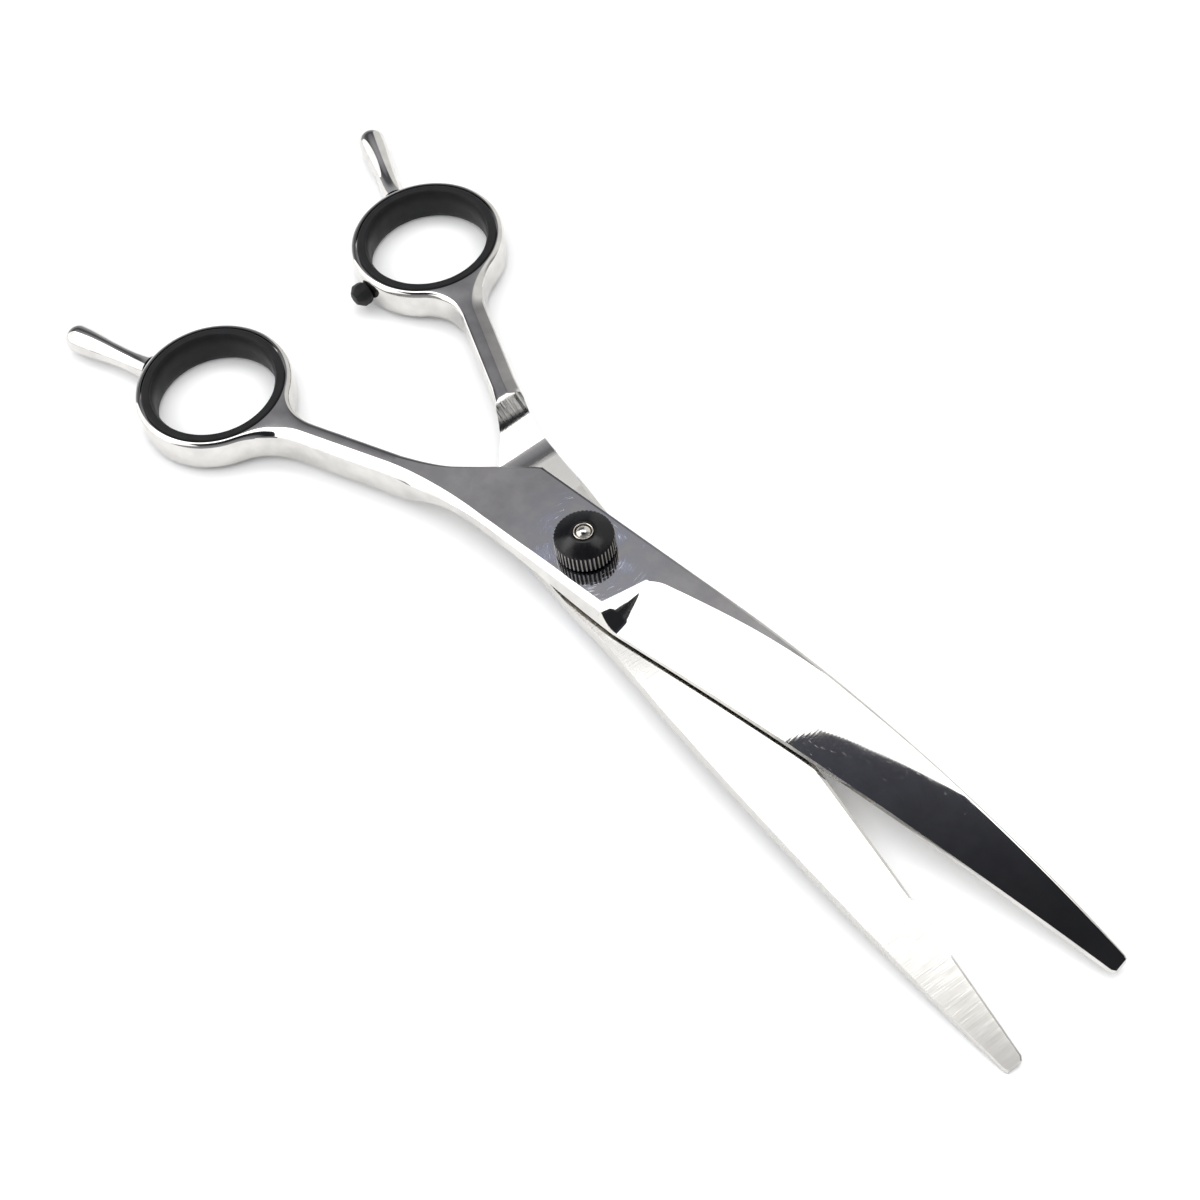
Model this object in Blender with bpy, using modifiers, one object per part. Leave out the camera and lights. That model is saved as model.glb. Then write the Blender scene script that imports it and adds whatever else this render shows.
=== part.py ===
# Hair cutting shears with down-curved blades and a thumb nut at the pivot, lying open.
# Two crossing steel halves turn on a keyed pivot screw. Each half is a blade, a pivot plate, a shank
# and a finger ring. Lengths are in metres, +X runs from the pivot to the tips and +Z is the nut side.
import math

import bmesh
import bpy
from mathutils import Vector

MM = 0.001

# Blades
BLADE_LENGTH = 104.5 * MM
BLADE_CURVE_START = 22.4 * MM
TIP_DROP = 7.6 * MM
SPINE_OFFSET = 7.6 * MM
SPINE_TAPER_START = 30.0 * MM
SPINE_TIP_OFFSET = 2.9 * MM
SPINE_REAR_SLOPE = 0.015
EDGE_HEEL_OFFSET = 8.2 * MM
EDGE_TIP_OFFSET = 0.2 * MM
EDGE_LAND = 0.25 * MM
FACE_WIDTH = 12.7 * MM
FACE_END_SLOPE = 0.07
TIP_CORNER = 0.6 * MM

# Pivot plates
PLATE_THICKNESS = 2.6 * MM
RIDE_GAP = 0.3 * MM
RIDE_LENGTH = 23.5 * MM
RUNOUT_RADIUS = 26.0 * MM
PLATE_CORNER_X = -17.0 * MM
PLATE_WAIST_X = -28.6 * MM
PLATE_WAIST_FAR = -2.4 * MM
PLATE_NEAR_OFFSET = 8.0 * MM
PLATE_BEVEL_FRONT = 2.4 * MM
PLATE_BEVEL_REAR = 0.6 * MM
PLATE_BEVEL_HEIGHT = 1.0 * MM
PLATE_WALL_LEAN = 0.4 * MM
PLUNGE_START = 9.0 * MM
PLUNGE_LENGTH = 4.5 * MM
PLUNGE_SKEW = 2.2 * MM
EDGE_BREAK = 0.2 * MM

# Shanks and rings
RING_REACH = 74.8 * MM
RING_SPREAD = math.radians(13.1)
RING_RADIUS = 13.7 * MM
RING_WALL = 1.7 * MM
RING_REBATE_WIDTH = 0.6 * MM
RING_REBATE_DEPTH = 0.8 * MM
HANDLE_THICKNESS = 6.2 * MM
HANDLE_BEVEL = 1.3 * MM
SHANK_WIDTH = 4.7 * MM
SHANK_ROOT_X = -36.6 * MM
SHANK_ROOT_Y = -8.7 * MM
SHANK_SLOPE = 0.31
FILLET_FAR = 8.0 * MM
FILLET_NEAR = 13.0 * MM
SHANK_OVERLAP = 8.0 * MM
SEAM = 0.02 * MM

# Finger inserts
INSERT_CLEARANCE = 0.2 * MM
INSERT_LIP_RISE = 0.15 * MM
INSERT_LIP_ROUND = 0.4 * MM
INSERT_WALL = 1.4 * MM
INSERT_FLARE = 0.5 * MM

# Finger rests and bumper
REST_LENGTH = 17.5 * MM
REST_ANGLE_LEFT = math.radians(15.4)
REST_ANGLE_RIGHT = math.radians(8.5)
REST_LEAN_LEFT = math.radians(2.0)
REST_LEAN_RIGHT = math.radians(6.0)
REST_BULB_RADIUS = 2.1 * MM
REST_NECK_RADIUS = 1.4 * MM
REST_FOOT_RADIUS = 2.2 * MM
REST_STUD_RADIUS = 0.8 * MM
REST_STUD_LENGTH = 1.0 * MM
BUMPER_RADIUS = 2.1 * MM
BUMPER_REACH = 3.5 * MM
BUMPER_STEM_RADIUS = 0.9 * MM
BUMPER_STEM_LENGTH = 1.0 * MM
BUMPER_ANGLE = math.radians(94.5)
SEAT_GAP = 0.15 * MM

# Pivot stack
FIT = 0.15 * MM
SCREW_RADIUS = 2.0 * MM
SCREW_NECK = 4.2 * MM
SCREW_HEAD_RADIUS = 4.2 * MM
SCREW_HEAD_HEIGHT = 0.9 * MM
SCREW_HEAD_INSET = 0.1 * MM
THREAD_RADIUS = 1.25 * MM
BUSHING_WALL = 0.7 * MM
GLIDE_RADIUS = 6.0 * MM
GLIDE_BORE = 3.4 * MM
GLIDE_THICKNESS = 0.4 * MM
KNOB_RADIUS = 4.8 * MM
KNOB_KNURL_HEIGHT = 3.4 * MM
KNOB_CONE_HEIGHT = 0.9 * MM
KNOB_CONE_TOP_RADIUS = 2.1 * MM
KNOB_RECESS_RADIUS = 4.0 * MM
KNURL_COUNT = 44
KNURL_DEPTH = 0.22 * MM
WASHER_RADIUS = 3.7 * MM
WASHER_THICKNESS = 0.4 * MM
SPRING_RISE = 0.35 * MM
SPRING_THICKNESS = 0.3 * MM
BUSH_RADIUS = 1.75 * MM
BUSH_FLANGE_RADIUS = 2.6 * MM
BUSH_FLANGE_HEIGHT = 0.6 * MM
BUSH_RISE = 0.15 * MM
DOME_RISE = 0.3 * MM

# Rest pose
REST_OPENING = math.radians(10.2)

# Mesh fineness
ROUND_STEPS = 40
WELD = 0.002 * MM
RING_STEPS = 56
REST_STEPS = 18
SCREW_STEPS = 32
FILLET_STEPS = 8
HANDLE_ROUND = 1

# Levels on the pivot axis, measured from the middle of the ride gap
PLATE_TOP = RIDE_GAP / 2 + PLATE_THICKNESS
HEAD_FACE = -PLATE_TOP + SCREW_HEAD_INSET
HEAD_TOP = HEAD_FACE + SCREW_HEAD_HEIGHT
GLIDE_BOTTOM = -RIDE_GAP / 2 + FIT
GLIDE_RECESS_TOP = GLIDE_BOTTOM + GLIDE_THICKNESS + FIT
BUSHING_RADIUS = SCREW_RADIUS + FIT + BUSHING_WALL
KNOB_BASE = PLATE_TOP + 2 * FIT
KNOB_SHOULDER = KNOB_BASE + KNOB_KNURL_HEIGHT
KNOB_TOP = KNOB_SHOULDER + KNOB_CONE_HEIGHT
WASHER_BOTTOM = PLATE_TOP + FIT
SPRING_BOTTOM = WASHER_BOTTOM + WASHER_THICKNESS + FIT
SPRING_TOP = SPRING_BOTTOM + SPRING_RISE + SPRING_THICKNESS
RECESS_TOP = SPRING_TOP + FIT
BUSH_BOTTOM = RECESS_TOP
BUSH_TOP = KNOB_TOP + BUSH_RISE
THREAD_TOP = BUSH_TOP + DOME_RISE
RING_BORE = RING_RADIUS - RING_WALL
RING_REBATE = RING_BORE + RING_REBATE_WIDTH
INSERT_HOLE_RADIUS = RING_BORE - INSERT_CLEARANCE - INSERT_WALL
RING_X = -RING_REACH * math.cos(RING_SPREAD)
RING_Y = -RING_REACH * math.sin(RING_SPREAD)
PAST = 2.0 * MM

for item in list(bpy.data.objects):
    bpy.data.objects.remove(item, do_unlink=True)

PARTS = bpy.data.collections.new("hair_shears")
CUTTERS = bpy.data.collections.new("cutters")
for group in (PARTS, CUTTERS):
    bpy.context.scene.collection.children.link(group)


def finish(name, colour, roughness, metallic):
    """One Principled material."""
    material = bpy.data.materials.new(name)
    material.use_nodes = True
    shader = material.node_tree.nodes["Principled BSDF"]
    shader.inputs["Base Color"].default_value = (*colour, 1.0)
    shader.inputs["Roughness"].default_value = roughness
    shader.inputs["Metallic"].default_value = metallic
    return material


POLISHED_STEEL = finish("polished_steel", (0.62, 0.62, 0.64), 0.08, 1.0)
TURNED_STEEL = finish("turned_steel", (0.55, 0.55, 0.57), 0.2, 1.0)
CHROME = finish("chrome", (0.75, 0.75, 0.76), 0.05, 1.0)
SPRING_STEEL = finish("spring_steel", (0.35, 0.34, 0.33), 0.3, 1.0)
BLACK_PLASTIC = finish("black_plastic", (0.012, 0.012, 0.013), 0.25, 0.0)
BLACK_RUBBER = finish("black_rubber", (0.018, 0.018, 0.02), 0.6, 0.0)
WHITE_ACETAL = finish("white_acetal", (0.8, 0.8, 0.77), 0.4, 0.0)


def add_object(name, mesh, group, material=None):
    """Wraps a mesh in an object of one of the two collections."""
    item = bpy.data.objects.new(name, mesh)
    group.objects.link(item)
    if material:
        mesh.materials.append(material)
    if group is CUTTERS:
        item.hide_render = True
        item.display_type = "WIRE"
    return item


def bake(item):
    """Replaces an object's mesh by its evaluated one, welded and facing out."""
    graph = bpy.context.evaluated_depsgraph_get()
    mesh = bpy.data.meshes.new_from_object(item.evaluated_get(graph))
    work = bmesh.new()
    work.from_mesh(mesh)
    bmesh.ops.remove_doubles(work, verts=work.verts, dist=WELD)
    bmesh.ops.dissolve_degenerate(work, edges=work.edges, dist=WELD)
    bmesh.ops.recalc_face_normals(work, faces=work.faces)
    work.to_mesh(mesh)
    work.free()
    item.modifiers.clear()
    item.data = mesh
    return item


def turned(name, profile, group, material=None, steps=ROUND_STEPS, closed=False):
    """Turns a profile of (radius, height) points about Z."""
    points = [(radius, 0.0, height) for radius, height in profile]
    edges = [(i, i + 1) for i in range(len(points) - 1)]
    if closed:
        edges.append((len(points) - 1, 0))
    mesh = bpy.data.meshes.new(name)
    mesh.from_pydata(points, edges, [])
    item = add_object(name, mesh, group, material)
    screw = item.modifiers.new("turn", "SCREW")
    screw.steps = steps
    screw.render_steps = steps
    screw.use_merge_vertices = True
    screw.merge_threshold = WELD
    bake(item)
    smooth(item)
    return item


def smooth(item, angle=30.0):
    """Shades the round stretches smooth and keeps corners crisp."""
    item.data.shade_smooth()
    item.data.set_sharp_from_angle(angle=math.radians(angle))


def loft(name, sections, group, material=None):
    """Joins closed sections of equal point counts and caps both ends."""
    work = bmesh.new()
    loops = [[work.verts.new(point) for point in section] for section in sections]
    count = len(loops[0])
    for first, second in zip(loops, loops[1:]):
        for i in range(count):
            j = (i + 1) % count
            work.faces.new((first[i], first[j], second[j], second[i]))
    work.faces.new(loops[0])
    work.faces.new(loops[-1])
    bmesh.ops.recalc_face_normals(work, faces=work.faces)
    mesh = bpy.data.meshes.new(name)
    work.to_mesh(mesh)
    work.free()
    return add_object(name, mesh, group, material)


def boolean(target, tool, operation):
    """Adds one exact Boolean modifier."""
    modifier = target.modifiers.new(operation.lower() + "_" + tool.name, "BOOLEAN")
    modifier.object = tool
    modifier.operation = operation
    modifier.solver = "EXACT"


def box(name, size, centre, group):
    """A plain block."""
    work = bmesh.new()
    bmesh.ops.create_cube(work, size=1.0)
    bmesh.ops.scale(work, vec=size, verts=work.verts)
    bmesh.ops.translate(work, vec=centre, verts=work.verts)
    mesh = bpy.data.meshes.new(name)
    work.to_mesh(mesh)
    work.free()
    return add_object(name, mesh, group)


def rod(name, radius, low, high, group):
    """A plain cylinder on Z between two heights."""
    return turned(name, [(0.0, high), (radius, high), (radius, low), (0.0, low)], group)


def ease(value):
    """Smooth step from 0 to 1."""
    value = min(max(value, 0.0), 1.0)
    return value * value * (3.0 - 2.0 * value)


def mix(first, second, share):
    """Straight blend."""
    return first + (second - first) * share


def through(points, x):
    """Smooth curve through (x, y) points of rising x, with flat-free tangents."""
    if x <= points[0][0]:
        return points[0][1]
    for i in range(len(points) - 1):
        (x0, y0), (x1, y1) = points[i], points[i + 1]
        if x <= x1:
            break
    before = points[max(i - 1, 0)]
    after = points[min(i + 2, len(points) - 1)]
    span = x1 - x0
    slope0 = (y1 - before[1]) / (x1 - before[0])
    slope1 = (after[1] - y0) / (after[0] - x0)
    t = min((x - x0) / span, 1.0)
    rise = (y1 - y0) / span
    bend0 = slope0 - rise
    bend1 = rise - slope1
    return mix(y0, y1, t) + span * t * (1 - t) * (bend0 * (1 - t) + bend1 * t)


def spine_y(x):
    """Back of the blade: straight at the plate, then a parabola to the tip."""
    if x < SPINE_TAPER_START:
        return SPINE_OFFSET - (SPINE_TAPER_START - x) * SPINE_REAR_SLOPE
    share = (x - SPINE_TAPER_START) / (BLADE_LENGTH - SPINE_TAPER_START)
    return SPINE_OFFSET - (SPINE_OFFSET - SPINE_TIP_OFFSET) * share * share


def edge_y(x):
    """Straight cutting edge from heel to tip."""
    heel = PLUNGE_START + PLUNGE_LENGTH
    share = (x - heel) / (BLADE_LENGTH - heel)
    return -mix(EDGE_HEEL_OFFSET, EDGE_TIP_OFFSET, share)


def shank_y(x):
    """Middle line of the shank."""
    return SHANK_ROOT_Y + (x - SHANK_ROOT_X) * SHANK_SLOPE


def far_y(x):
    """Outline on the spine side, tip to ring."""
    if x >= PLATE_CORNER_X:
        return spine_y(x)
    if x <= SHANK_ROOT_X:
        return shank_y(x) + SHANK_WIDTH / 2
    root = shank_y(SHANK_ROOT_X) + SHANK_WIDTH / 2
    behind = SHANK_ROOT_X - SHANK_OVERLAP
    corner = (PLATE_CORNER_X, spine_y(PLATE_CORNER_X))
    waist = (PLATE_WAIST_X, PLATE_WAIST_FAR)
    if x >= PLATE_WAIST_X:
        return mix(waist[1], corner[1], (x - waist[0]) / (corner[0] - waist[0]))
    return through([(behind, shank_y(behind) + SHANK_WIDTH / 2), (SHANK_ROOT_X, root), waist, corner], x)


def near_y(x):
    """Outline on the cutting side, tip to ring."""
    heel = PLUNGE_START + PLUNGE_LENGTH
    if x >= heel:
        return edge_y(x)
    if x <= SHANK_ROOT_X:
        return shank_y(x) - SHANK_WIDTH / 2
    behind = SHANK_ROOT_X - SHANK_OVERLAP
    return through(
        [
            (behind, shank_y(behind) - SHANK_WIDTH / 2),
            (SHANK_ROOT_X, shank_y(SHANK_ROOT_X) - SHANK_WIDTH / 2),
            (-RIDE_LENGTH, -PLATE_NEAR_OFFSET),
            (PLATE_CORNER_X / 2, -PLATE_NEAR_OFFSET),
            (heel, edge_y(heel)),
            (2 * heel, edge_y(2 * heel)),
        ],
        x,
    )


def bow(x, y):
    """Fall of the blades below the ride plane, the same all round the pivot axis."""
    if x <= 0.0:
        return 0.0
    reach = max(math.hypot(x, y) - BLADE_CURVE_START, 0.0)
    return TIP_DROP * (reach / (BLADE_LENGTH - BLADE_CURVE_START)) ** 2


def face_height(distance):
    """Convex blade face above the inside, by distance from the cutting edge."""
    rise = PLATE_THICKNESS - EDGE_LAND
    bend = rise / FACE_WIDTH ** 2 - FACE_END_SLOPE / FACE_WIDTH
    slope = FACE_END_SLOPE + 2 * bend * FACE_WIDTH
    if distance >= FACE_WIDTH:
        return PLATE_THICKNESS
    return EDGE_LAND + slope * distance - bend * distance * distance


def ground_share(x):
    """How far the blade grind has come at a place: 0 on the plate, 1 past the plunge."""
    share = min(max((x - PLUNGE_START) / PLUNGE_LENGTH, 0.0), 1.0)
    return 1.0 - (1.0 - share) ** 2


FACE_POINTS = 6
INSIDE_POINTS = 3


def half_section(x):
    """One section of a half as (y, height outward from the ride plane) points."""
    ride = RIDE_GAP / 2
    low_side = -HANDLE_THICKNESS / 2
    far = far_y(x)
    near = near_y(x)
    plate = ease((x - SHANK_ROOT_X) / (PLATE_CORNER_X - SHANK_ROOT_X))
    top = mix(HANDLE_THICKNESS / 2, PLATE_TOP, plate)
    bevel_far = mix(HANDLE_BEVEL, EDGE_BREAK, plate)
    along = min(max((x + RIDE_LENGTH) / (RIDE_LENGTH + PLUNGE_START), 0.0), 1.0)
    bevel_near = mix(HANDLE_BEVEL, mix(PLATE_BEVEL_REAR, PLATE_BEVEL_FRONT, along), plate)
    bevel_drop = mix(HANDLE_BEVEL, PLATE_BEVEL_HEIGHT, plate)
    lean = PLATE_WALL_LEAN * plate
    runout = max(-RIDE_LENGTH - x, 0.0) ** 2 / (2 * RUNOUT_RADIUS)
    cut = max(ride - runout, low_side)
    wall_low = max(cut, low_side + HANDLE_BEVEL)
    under = max(HANDLE_BEVEL - (cut - low_side), EDGE_BREAK / 2)
    wall_low = max(wall_low, cut + EDGE_BREAK / 2)

    # The ground face: the plate's bevel at the pivot, the convex face on the blade
    ground = ground_share(x)
    at_edge = ground_share(x - PLUNGE_SKEW)
    width = far - near
    edge_x = max(x, PLUNGE_START)
    spine_top = ride + min(face_height(width - EDGE_BREAK), PLATE_THICKNESS)
    top = mix(top, spine_top, ground) if edge_x > PLUNGE_START else top
    far_low = mix(wall_low, ride, ground) if ground > 0 else wall_low
    break_far = mix(bevel_far, EDGE_BREAK, ground)
    points = [(far, far_low), (far, top - break_far)]
    points.append((far - break_far, top))
    grind = min(FACE_WIDTH, width - 3 * EDGE_BREAK)
    for i in range(FACE_POINTS):
        share = 1.0 - i / (FACE_POINTS - 1)
        plain = (near + lean + bevel_near * share, top - bevel_drop * (1.0 - share))
        face = (near + grind * share, ride + face_height(grind * share))
        sunk = mix(at_edge, ground, share)
        points.append((mix(plain[0], face[0], ground), mix(plain[1], face[1], sunk)))
    under_near = mix(under, EDGE_BREAK, ground)
    points.append((near, mix(wall_low, ride + EDGE_LAND / 2, at_edge)))
    inner = near + under_near
    outer = far - mix(under, EDGE_BREAK, ground)
    for i in range(INSIDE_POINTS):
        points.append((mix(inner, outer, i / (INSIDE_POINTS - 1)), cut))
    return points


def stations():
    """Places along X where a section is taken, shank to tip."""
    def run(start, end, count):
        return [mix(start, end, i / count) for i in range(count)]

    heel = PLUNGE_START + PLUNGE_LENGTH
    places = run(SHANK_ROOT_X - SHANK_OVERLAP, SHANK_ROOT_X, 2)
    places += run(SHANK_ROOT_X, PLATE_WAIST_X, 6)
    places += run(PLATE_WAIST_X, -RIDE_LENGTH, 5)
    places += run(-RIDE_LENGTH, PLATE_CORNER_X, 2)
    places += run(PLATE_CORNER_X, PLUNGE_START, 5)
    places += run(PLUNGE_START, heel, 9)
    places += run(heel, BLADE_LENGTH - TIP_CORNER, 24)
    return places + [BLADE_LENGTH - TIP_CORNER, BLADE_LENGTH]


def half_body(name, side):
    """Lofts one half in its own frame; side is +1 for the upper half and -1 for the lower."""
    sections = []
    for x in stations():
        section = half_section(x)
        if x == BLADE_LENGTH:
            middle = sum(y for y, height in section) / len(section)
            shrink = 1.0 - TIP_CORNER / (SPINE_TIP_OFFSET + EDGE_TIP_OFFSET)
            section = [(middle + (y - middle) * shrink, height) for y, height in section]
        sections.append([(x, side * y, side * height - bow(x, y)) for y, height in section])
    return loft(name, sections, PARTS, POLISHED_STEEL)


def handle_outline():
    """Plan outline of shank and ring: straight edges, a fillet on each side and the ring's arc."""
    centre = Vector((RING_X, RING_Y))
    along = Vector((1.0, SHANK_SLOPE)).normalized()
    across = Vector((-along.y, along.x))
    root = Vector((SHANK_ROOT_X, SHANK_ROOT_Y)) - centre
    start = root.dot(along) - SHANK_OVERLAP / 2
    edges = []
    turns = []
    for sign, radius in ((1, FILLET_FAR), (-1, FILLET_NEAR)):
        line = sign * root.dot(across) + SHANK_WIDTH / 2 * along.x
        ahead = math.sqrt((RING_RADIUS + radius) ** 2 - (line + radius) ** 2)
        turn = math.atan2(line + radius, ahead)
        hub = along * ahead + across * sign * (line + radius)
        edge = [along * start + across * sign * line]
        for i in range(FILLET_STEPS + 1):
            bend = (math.pi / 2 - turn) * i / FILLET_STEPS
            edge.append(hub - (across * sign * math.cos(bend) + along * math.sin(bend)) * radius)
        edges.append(edge)
        turns.append(turn)
    first = math.atan2(along.y, along.x) + turns[0]
    sweep = 2 * math.pi - turns[0] - turns[1]
    arc = []
    for i in range(1, RING_STEPS):
        angle = first + sweep * i / RING_STEPS
        arc.append(Vector((math.cos(angle), math.sin(angle))) * RING_RADIUS)
    return [centre + point for point in edges[0] + arc + edges[1][::-1]]


def forged_handle(name, side):
    """Shank and ring in one: the outline drawn as a flat curve with rounded edges."""
    curve = bpy.data.curves.new(name, "CURVE")
    curve.dimensions = "2D"
    curve.fill_mode = "BOTH"
    curve.extrude = HANDLE_THICKNESS / 2 - HANDLE_BEVEL + SEAM
    curve.bevel_depth = HANDLE_BEVEL
    curve.bevel_resolution = HANDLE_ROUND
    curve.offset = SEAM - HANDLE_BEVEL
    outline = handle_outline()
    spline = curve.splines.new("POLY")
    spline.points.add(len(outline) - 1)
    for point, place in zip(spline.points, outline):
        point.co = (place.x, side * place.y, 0.0, 1.0)
    spline.use_cyclic_u = True
    drawn = bpy.data.objects.new(name + "_outline", curve)
    CUTTERS.objects.link(drawn)
    bpy.context.view_layer.update()
    mesh = bpy.data.meshes.new_from_object(drawn.evaluated_get(bpy.context.evaluated_depsgraph_get()))
    bpy.data.objects.remove(drawn, do_unlink=True)
    return bake(add_object(name, mesh, CUTTERS))


def on_ring(item, side, angle=0.0):
    """Moves an object from Z to the ring's middle of one half."""
    item.location = (RING_X, side * RING_Y, 0.0)
    item.rotation_euler = (0.0, 0.0, angle)


def ring_pointing(item, side, angle, reach, lean=0.0):
    """Lays a piece turned on Z so that its axis leaves the ring at an angle from the rearward line."""
    heading = math.pi + side * angle
    item.location = (
        RING_X + reach * math.cos(heading),
        side * RING_Y + reach * math.sin(heading),
        0.0,
    )
    item.rotation_euler = (0.0, math.pi / 2, heading - lean)


def point_rest(item, side):
    """Sets a finger rest or its hole on the ring; the two rests were fitted a little differently."""
    if side > 0:
        ring_pointing(item, side, REST_ANGLE_LEFT, RING_RADIUS, REST_LEAN_LEFT)
    else:
        ring_pointing(item, side, REST_ANGLE_RIGHT, RING_RADIUS, REST_LEAN_RIGHT)


def make_half(name, side):
    """A steel half with its ring, insert hole, stud holes and pivot bore."""
    body = half_body(name, side)
    label = "upper" if side > 0 else "lower"
    boolean(body, forged_handle(label + "_handle", side), "UNION")
    reach = HANDLE_THICKNESS / 2 + PAST
    shelf = HANDLE_THICKNESS / 2 - RING_REBATE_DEPTH
    top_half = [(0.0, reach), (RING_REBATE, reach), (RING_REBATE, shelf), (RING_BORE, shelf)]
    profile = top_half + [(radius, -height) for radius, height in reversed(top_half)]
    hole = turned(label + "_ring_hole", profile, CUTTERS, None, RING_STEPS)
    on_ring(hole, side)
    boolean(body, hole, "DIFFERENCE")
    bpy.context.view_layer.update()
    bake(body)
    seat = -REST_STUD_LENGTH - SEAT_GAP
    stud_hole = rod(label + "_stud_hole", REST_STUD_RADIUS + FIT, seat, PAST, CUTTERS)
    point_rest(stud_hole, side)
    boolean(body, stud_hole, "DIFFERENCE")
    return body


def pivot_bores(upper, lower):
    """Bores, recesses and the square keyway on the pivot axis."""
    bore = rod("bushing_bore", BUSHING_RADIUS + FIT, -PAST, PLATE_TOP + PAST, CUTTERS)
    recess = rod("glide_recess", GLIDE_RADIUS + FIT, -RIDE_GAP, GLIDE_RECESS_TOP, CUTTERS)
    boolean(upper, bore, "DIFFERENCE")
    boolean(upper, recess, "DIFFERENCE")
    neck = SCREW_NECK + 2 * FIT
    keyway = box("screw_keyway", (neck, neck, 2 * PLATE_TOP), (0.0, 0.0, -PLATE_TOP), CUTTERS)
    head_pocket = rod("head_pocket", SCREW_HEAD_RADIUS + FIT, -PLATE_TOP - PAST, HEAD_TOP + FIT, CUTTERS)
    boolean(lower, keyway, "DIFFERENCE")
    boolean(lower, head_pocket, "DIFFERENCE")


def make_insert(name, side):
    """Soft finger insert: a spool whose lips hold it in the ring."""
    wall = RING_BORE - INSERT_CLEARANCE
    lip_radius = RING_REBATE - INSERT_CLEARANCE
    lip_low = HANDLE_THICKNESS / 2 - RING_REBATE_DEPTH + INSERT_CLEARANCE
    lip_high = HANDLE_THICKNESS / 2 + INSERT_LIP_RISE
    mouth = INSERT_HOLE_RADIUS + INSERT_FLARE
    outer = [
        (mouth + INSERT_LIP_ROUND, lip_high),
        (lip_radius - INSERT_LIP_ROUND, lip_high),
        (lip_radius, lip_high - INSERT_LIP_ROUND),
        (lip_radius, lip_low),
        (wall, lip_low),
    ]
    inner = [(mouth, lip_high - INSERT_LIP_ROUND), (INSERT_HOLE_RADIUS, HANDLE_THICKNESS / 4)]
    lower_outer = [(radius, -height) for radius, height in reversed(outer)]
    profile = outer + lower_outer + [(radius, -height) for radius, height in inner] + inner[::-1]
    item = turned(name, profile, PARTS, BLACK_RUBBER, RING_STEPS, True)
    on_ring(item, side)
    return item


def make_finger_rest(name, side):
    """Club-shaped finger rest on a stud that screws into the ring."""
    tip = REST_LENGTH
    bulb = tip - REST_BULB_RADIUS
    neck = REST_LENGTH * 0.3
    profile = [(0.0, tip)]
    for i in range(1, 6):
        turn = math.radians(18.0 * i)
        profile.append((REST_BULB_RADIUS * math.sin(turn), bulb + REST_BULB_RADIUS * math.cos(turn)))
    for i in range(1, 6):
        share = i / 5
        profile.append((mix(REST_BULB_RADIUS, REST_NECK_RADIUS, ease(share)), mix(bulb, neck, share)))
    seat = 2 * SEAT_GAP
    for i in range(1, 5):
        share = i / 4
        profile.append((mix(REST_NECK_RADIUS, REST_FOOT_RADIUS, share ** 2.5), mix(neck, seat, share)))
    profile += [(REST_STUD_RADIUS, seat), (REST_STUD_RADIUS, -REST_STUD_LENGTH), (0.0, -REST_STUD_LENGTH)]
    item = turned(name, profile, PARTS, POLISHED_STEEL, REST_STEPS)
    point_rest(item, side)
    return item


def make_bumper(lower):
    """Rubber stop on the lower half's ring, pressed into a blind hole."""
    heading = -BUMPER_ANGLE
    top = BUMPER_REACH
    ball = top - BUMPER_RADIUS
    low = (SEAT_GAP - ball) / BUMPER_RADIUS
    span = math.acos(min(max(low, -0.9), 0.0))
    profile = [(0.0, top)]
    for i in range(1, 8):
        turn = span * i / 7
        profile.append((BUMPER_RADIUS * math.sin(turn), ball + BUMPER_RADIUS * math.cos(turn)))
    profile.append((BUMPER_STEM_RADIUS, profile[-1][1]))
    profile += [(BUMPER_STEM_RADIUS, -BUMPER_STEM_LENGTH), (0.0, -BUMPER_STEM_LENGTH)]
    item = turned("bumper", profile, PARTS, BLACK_RUBBER, REST_STEPS)
    ring_pointing(item, -1, heading, RING_RADIUS)
    floor = RING_RADIUS - BUMPER_STEM_LENGTH - SEAT_GAP
    hole = rod("bumper_hole", BUMPER_STEM_RADIUS + FIT, floor, RING_RADIUS + PAST, CUTTERS)
    ring_pointing(hole, -1, heading, 0.0)
    boolean(lower, hole, "DIFFERENCE")
    return item


def washer(name, inner, outer, low, high, material):
    """A flat ring."""
    profile = [(inner, high), (outer, high), (outer, low), (inner, low)]
    return turned(name, profile, PARTS, material, ROUND_STEPS, True)


def make_pivot_screw():
    """Flat-headed screw with a square neck, a plain journal, a thread and a domed end."""
    journal_top = SPRING_TOP
    dome_low = THREAD_TOP - THREAD_RADIUS * 0.75
    profile = [(0.0, THREAD_TOP)]
    for i in range(1, 6):
        turn = math.radians(18.0 * i)
        profile.append((THREAD_RADIUS * math.sin(turn), mix(dome_low, THREAD_TOP, math.cos(turn))))
    profile += [
        (THREAD_RADIUS, journal_top),
        (SCREW_RADIUS, journal_top - FIT),
        (SCREW_RADIUS, HEAD_TOP),
        (SCREW_HEAD_RADIUS, HEAD_TOP),
        (SCREW_HEAD_RADIUS, HEAD_FACE + SCREW_HEAD_HEIGHT / 4),
        (SCREW_HEAD_RADIUS - SCREW_HEAD_HEIGHT / 4, HEAD_FACE),
        (0.0, HEAD_FACE),
    ]
    item = turned("pivot_screw", profile, PARTS, TURNED_STEEL, SCREW_STEPS)
    neck_top = -RIDE_GAP / 2 - FIT
    height = neck_top - HEAD_TOP + SCREW_HEAD_HEIGHT / 2
    neck = box("screw_neck", (SCREW_NECK, SCREW_NECK, height), (0.0, 0.0, neck_top - height / 2), CUTTERS)
    boolean(item, neck, "UNION")
    return item


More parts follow.
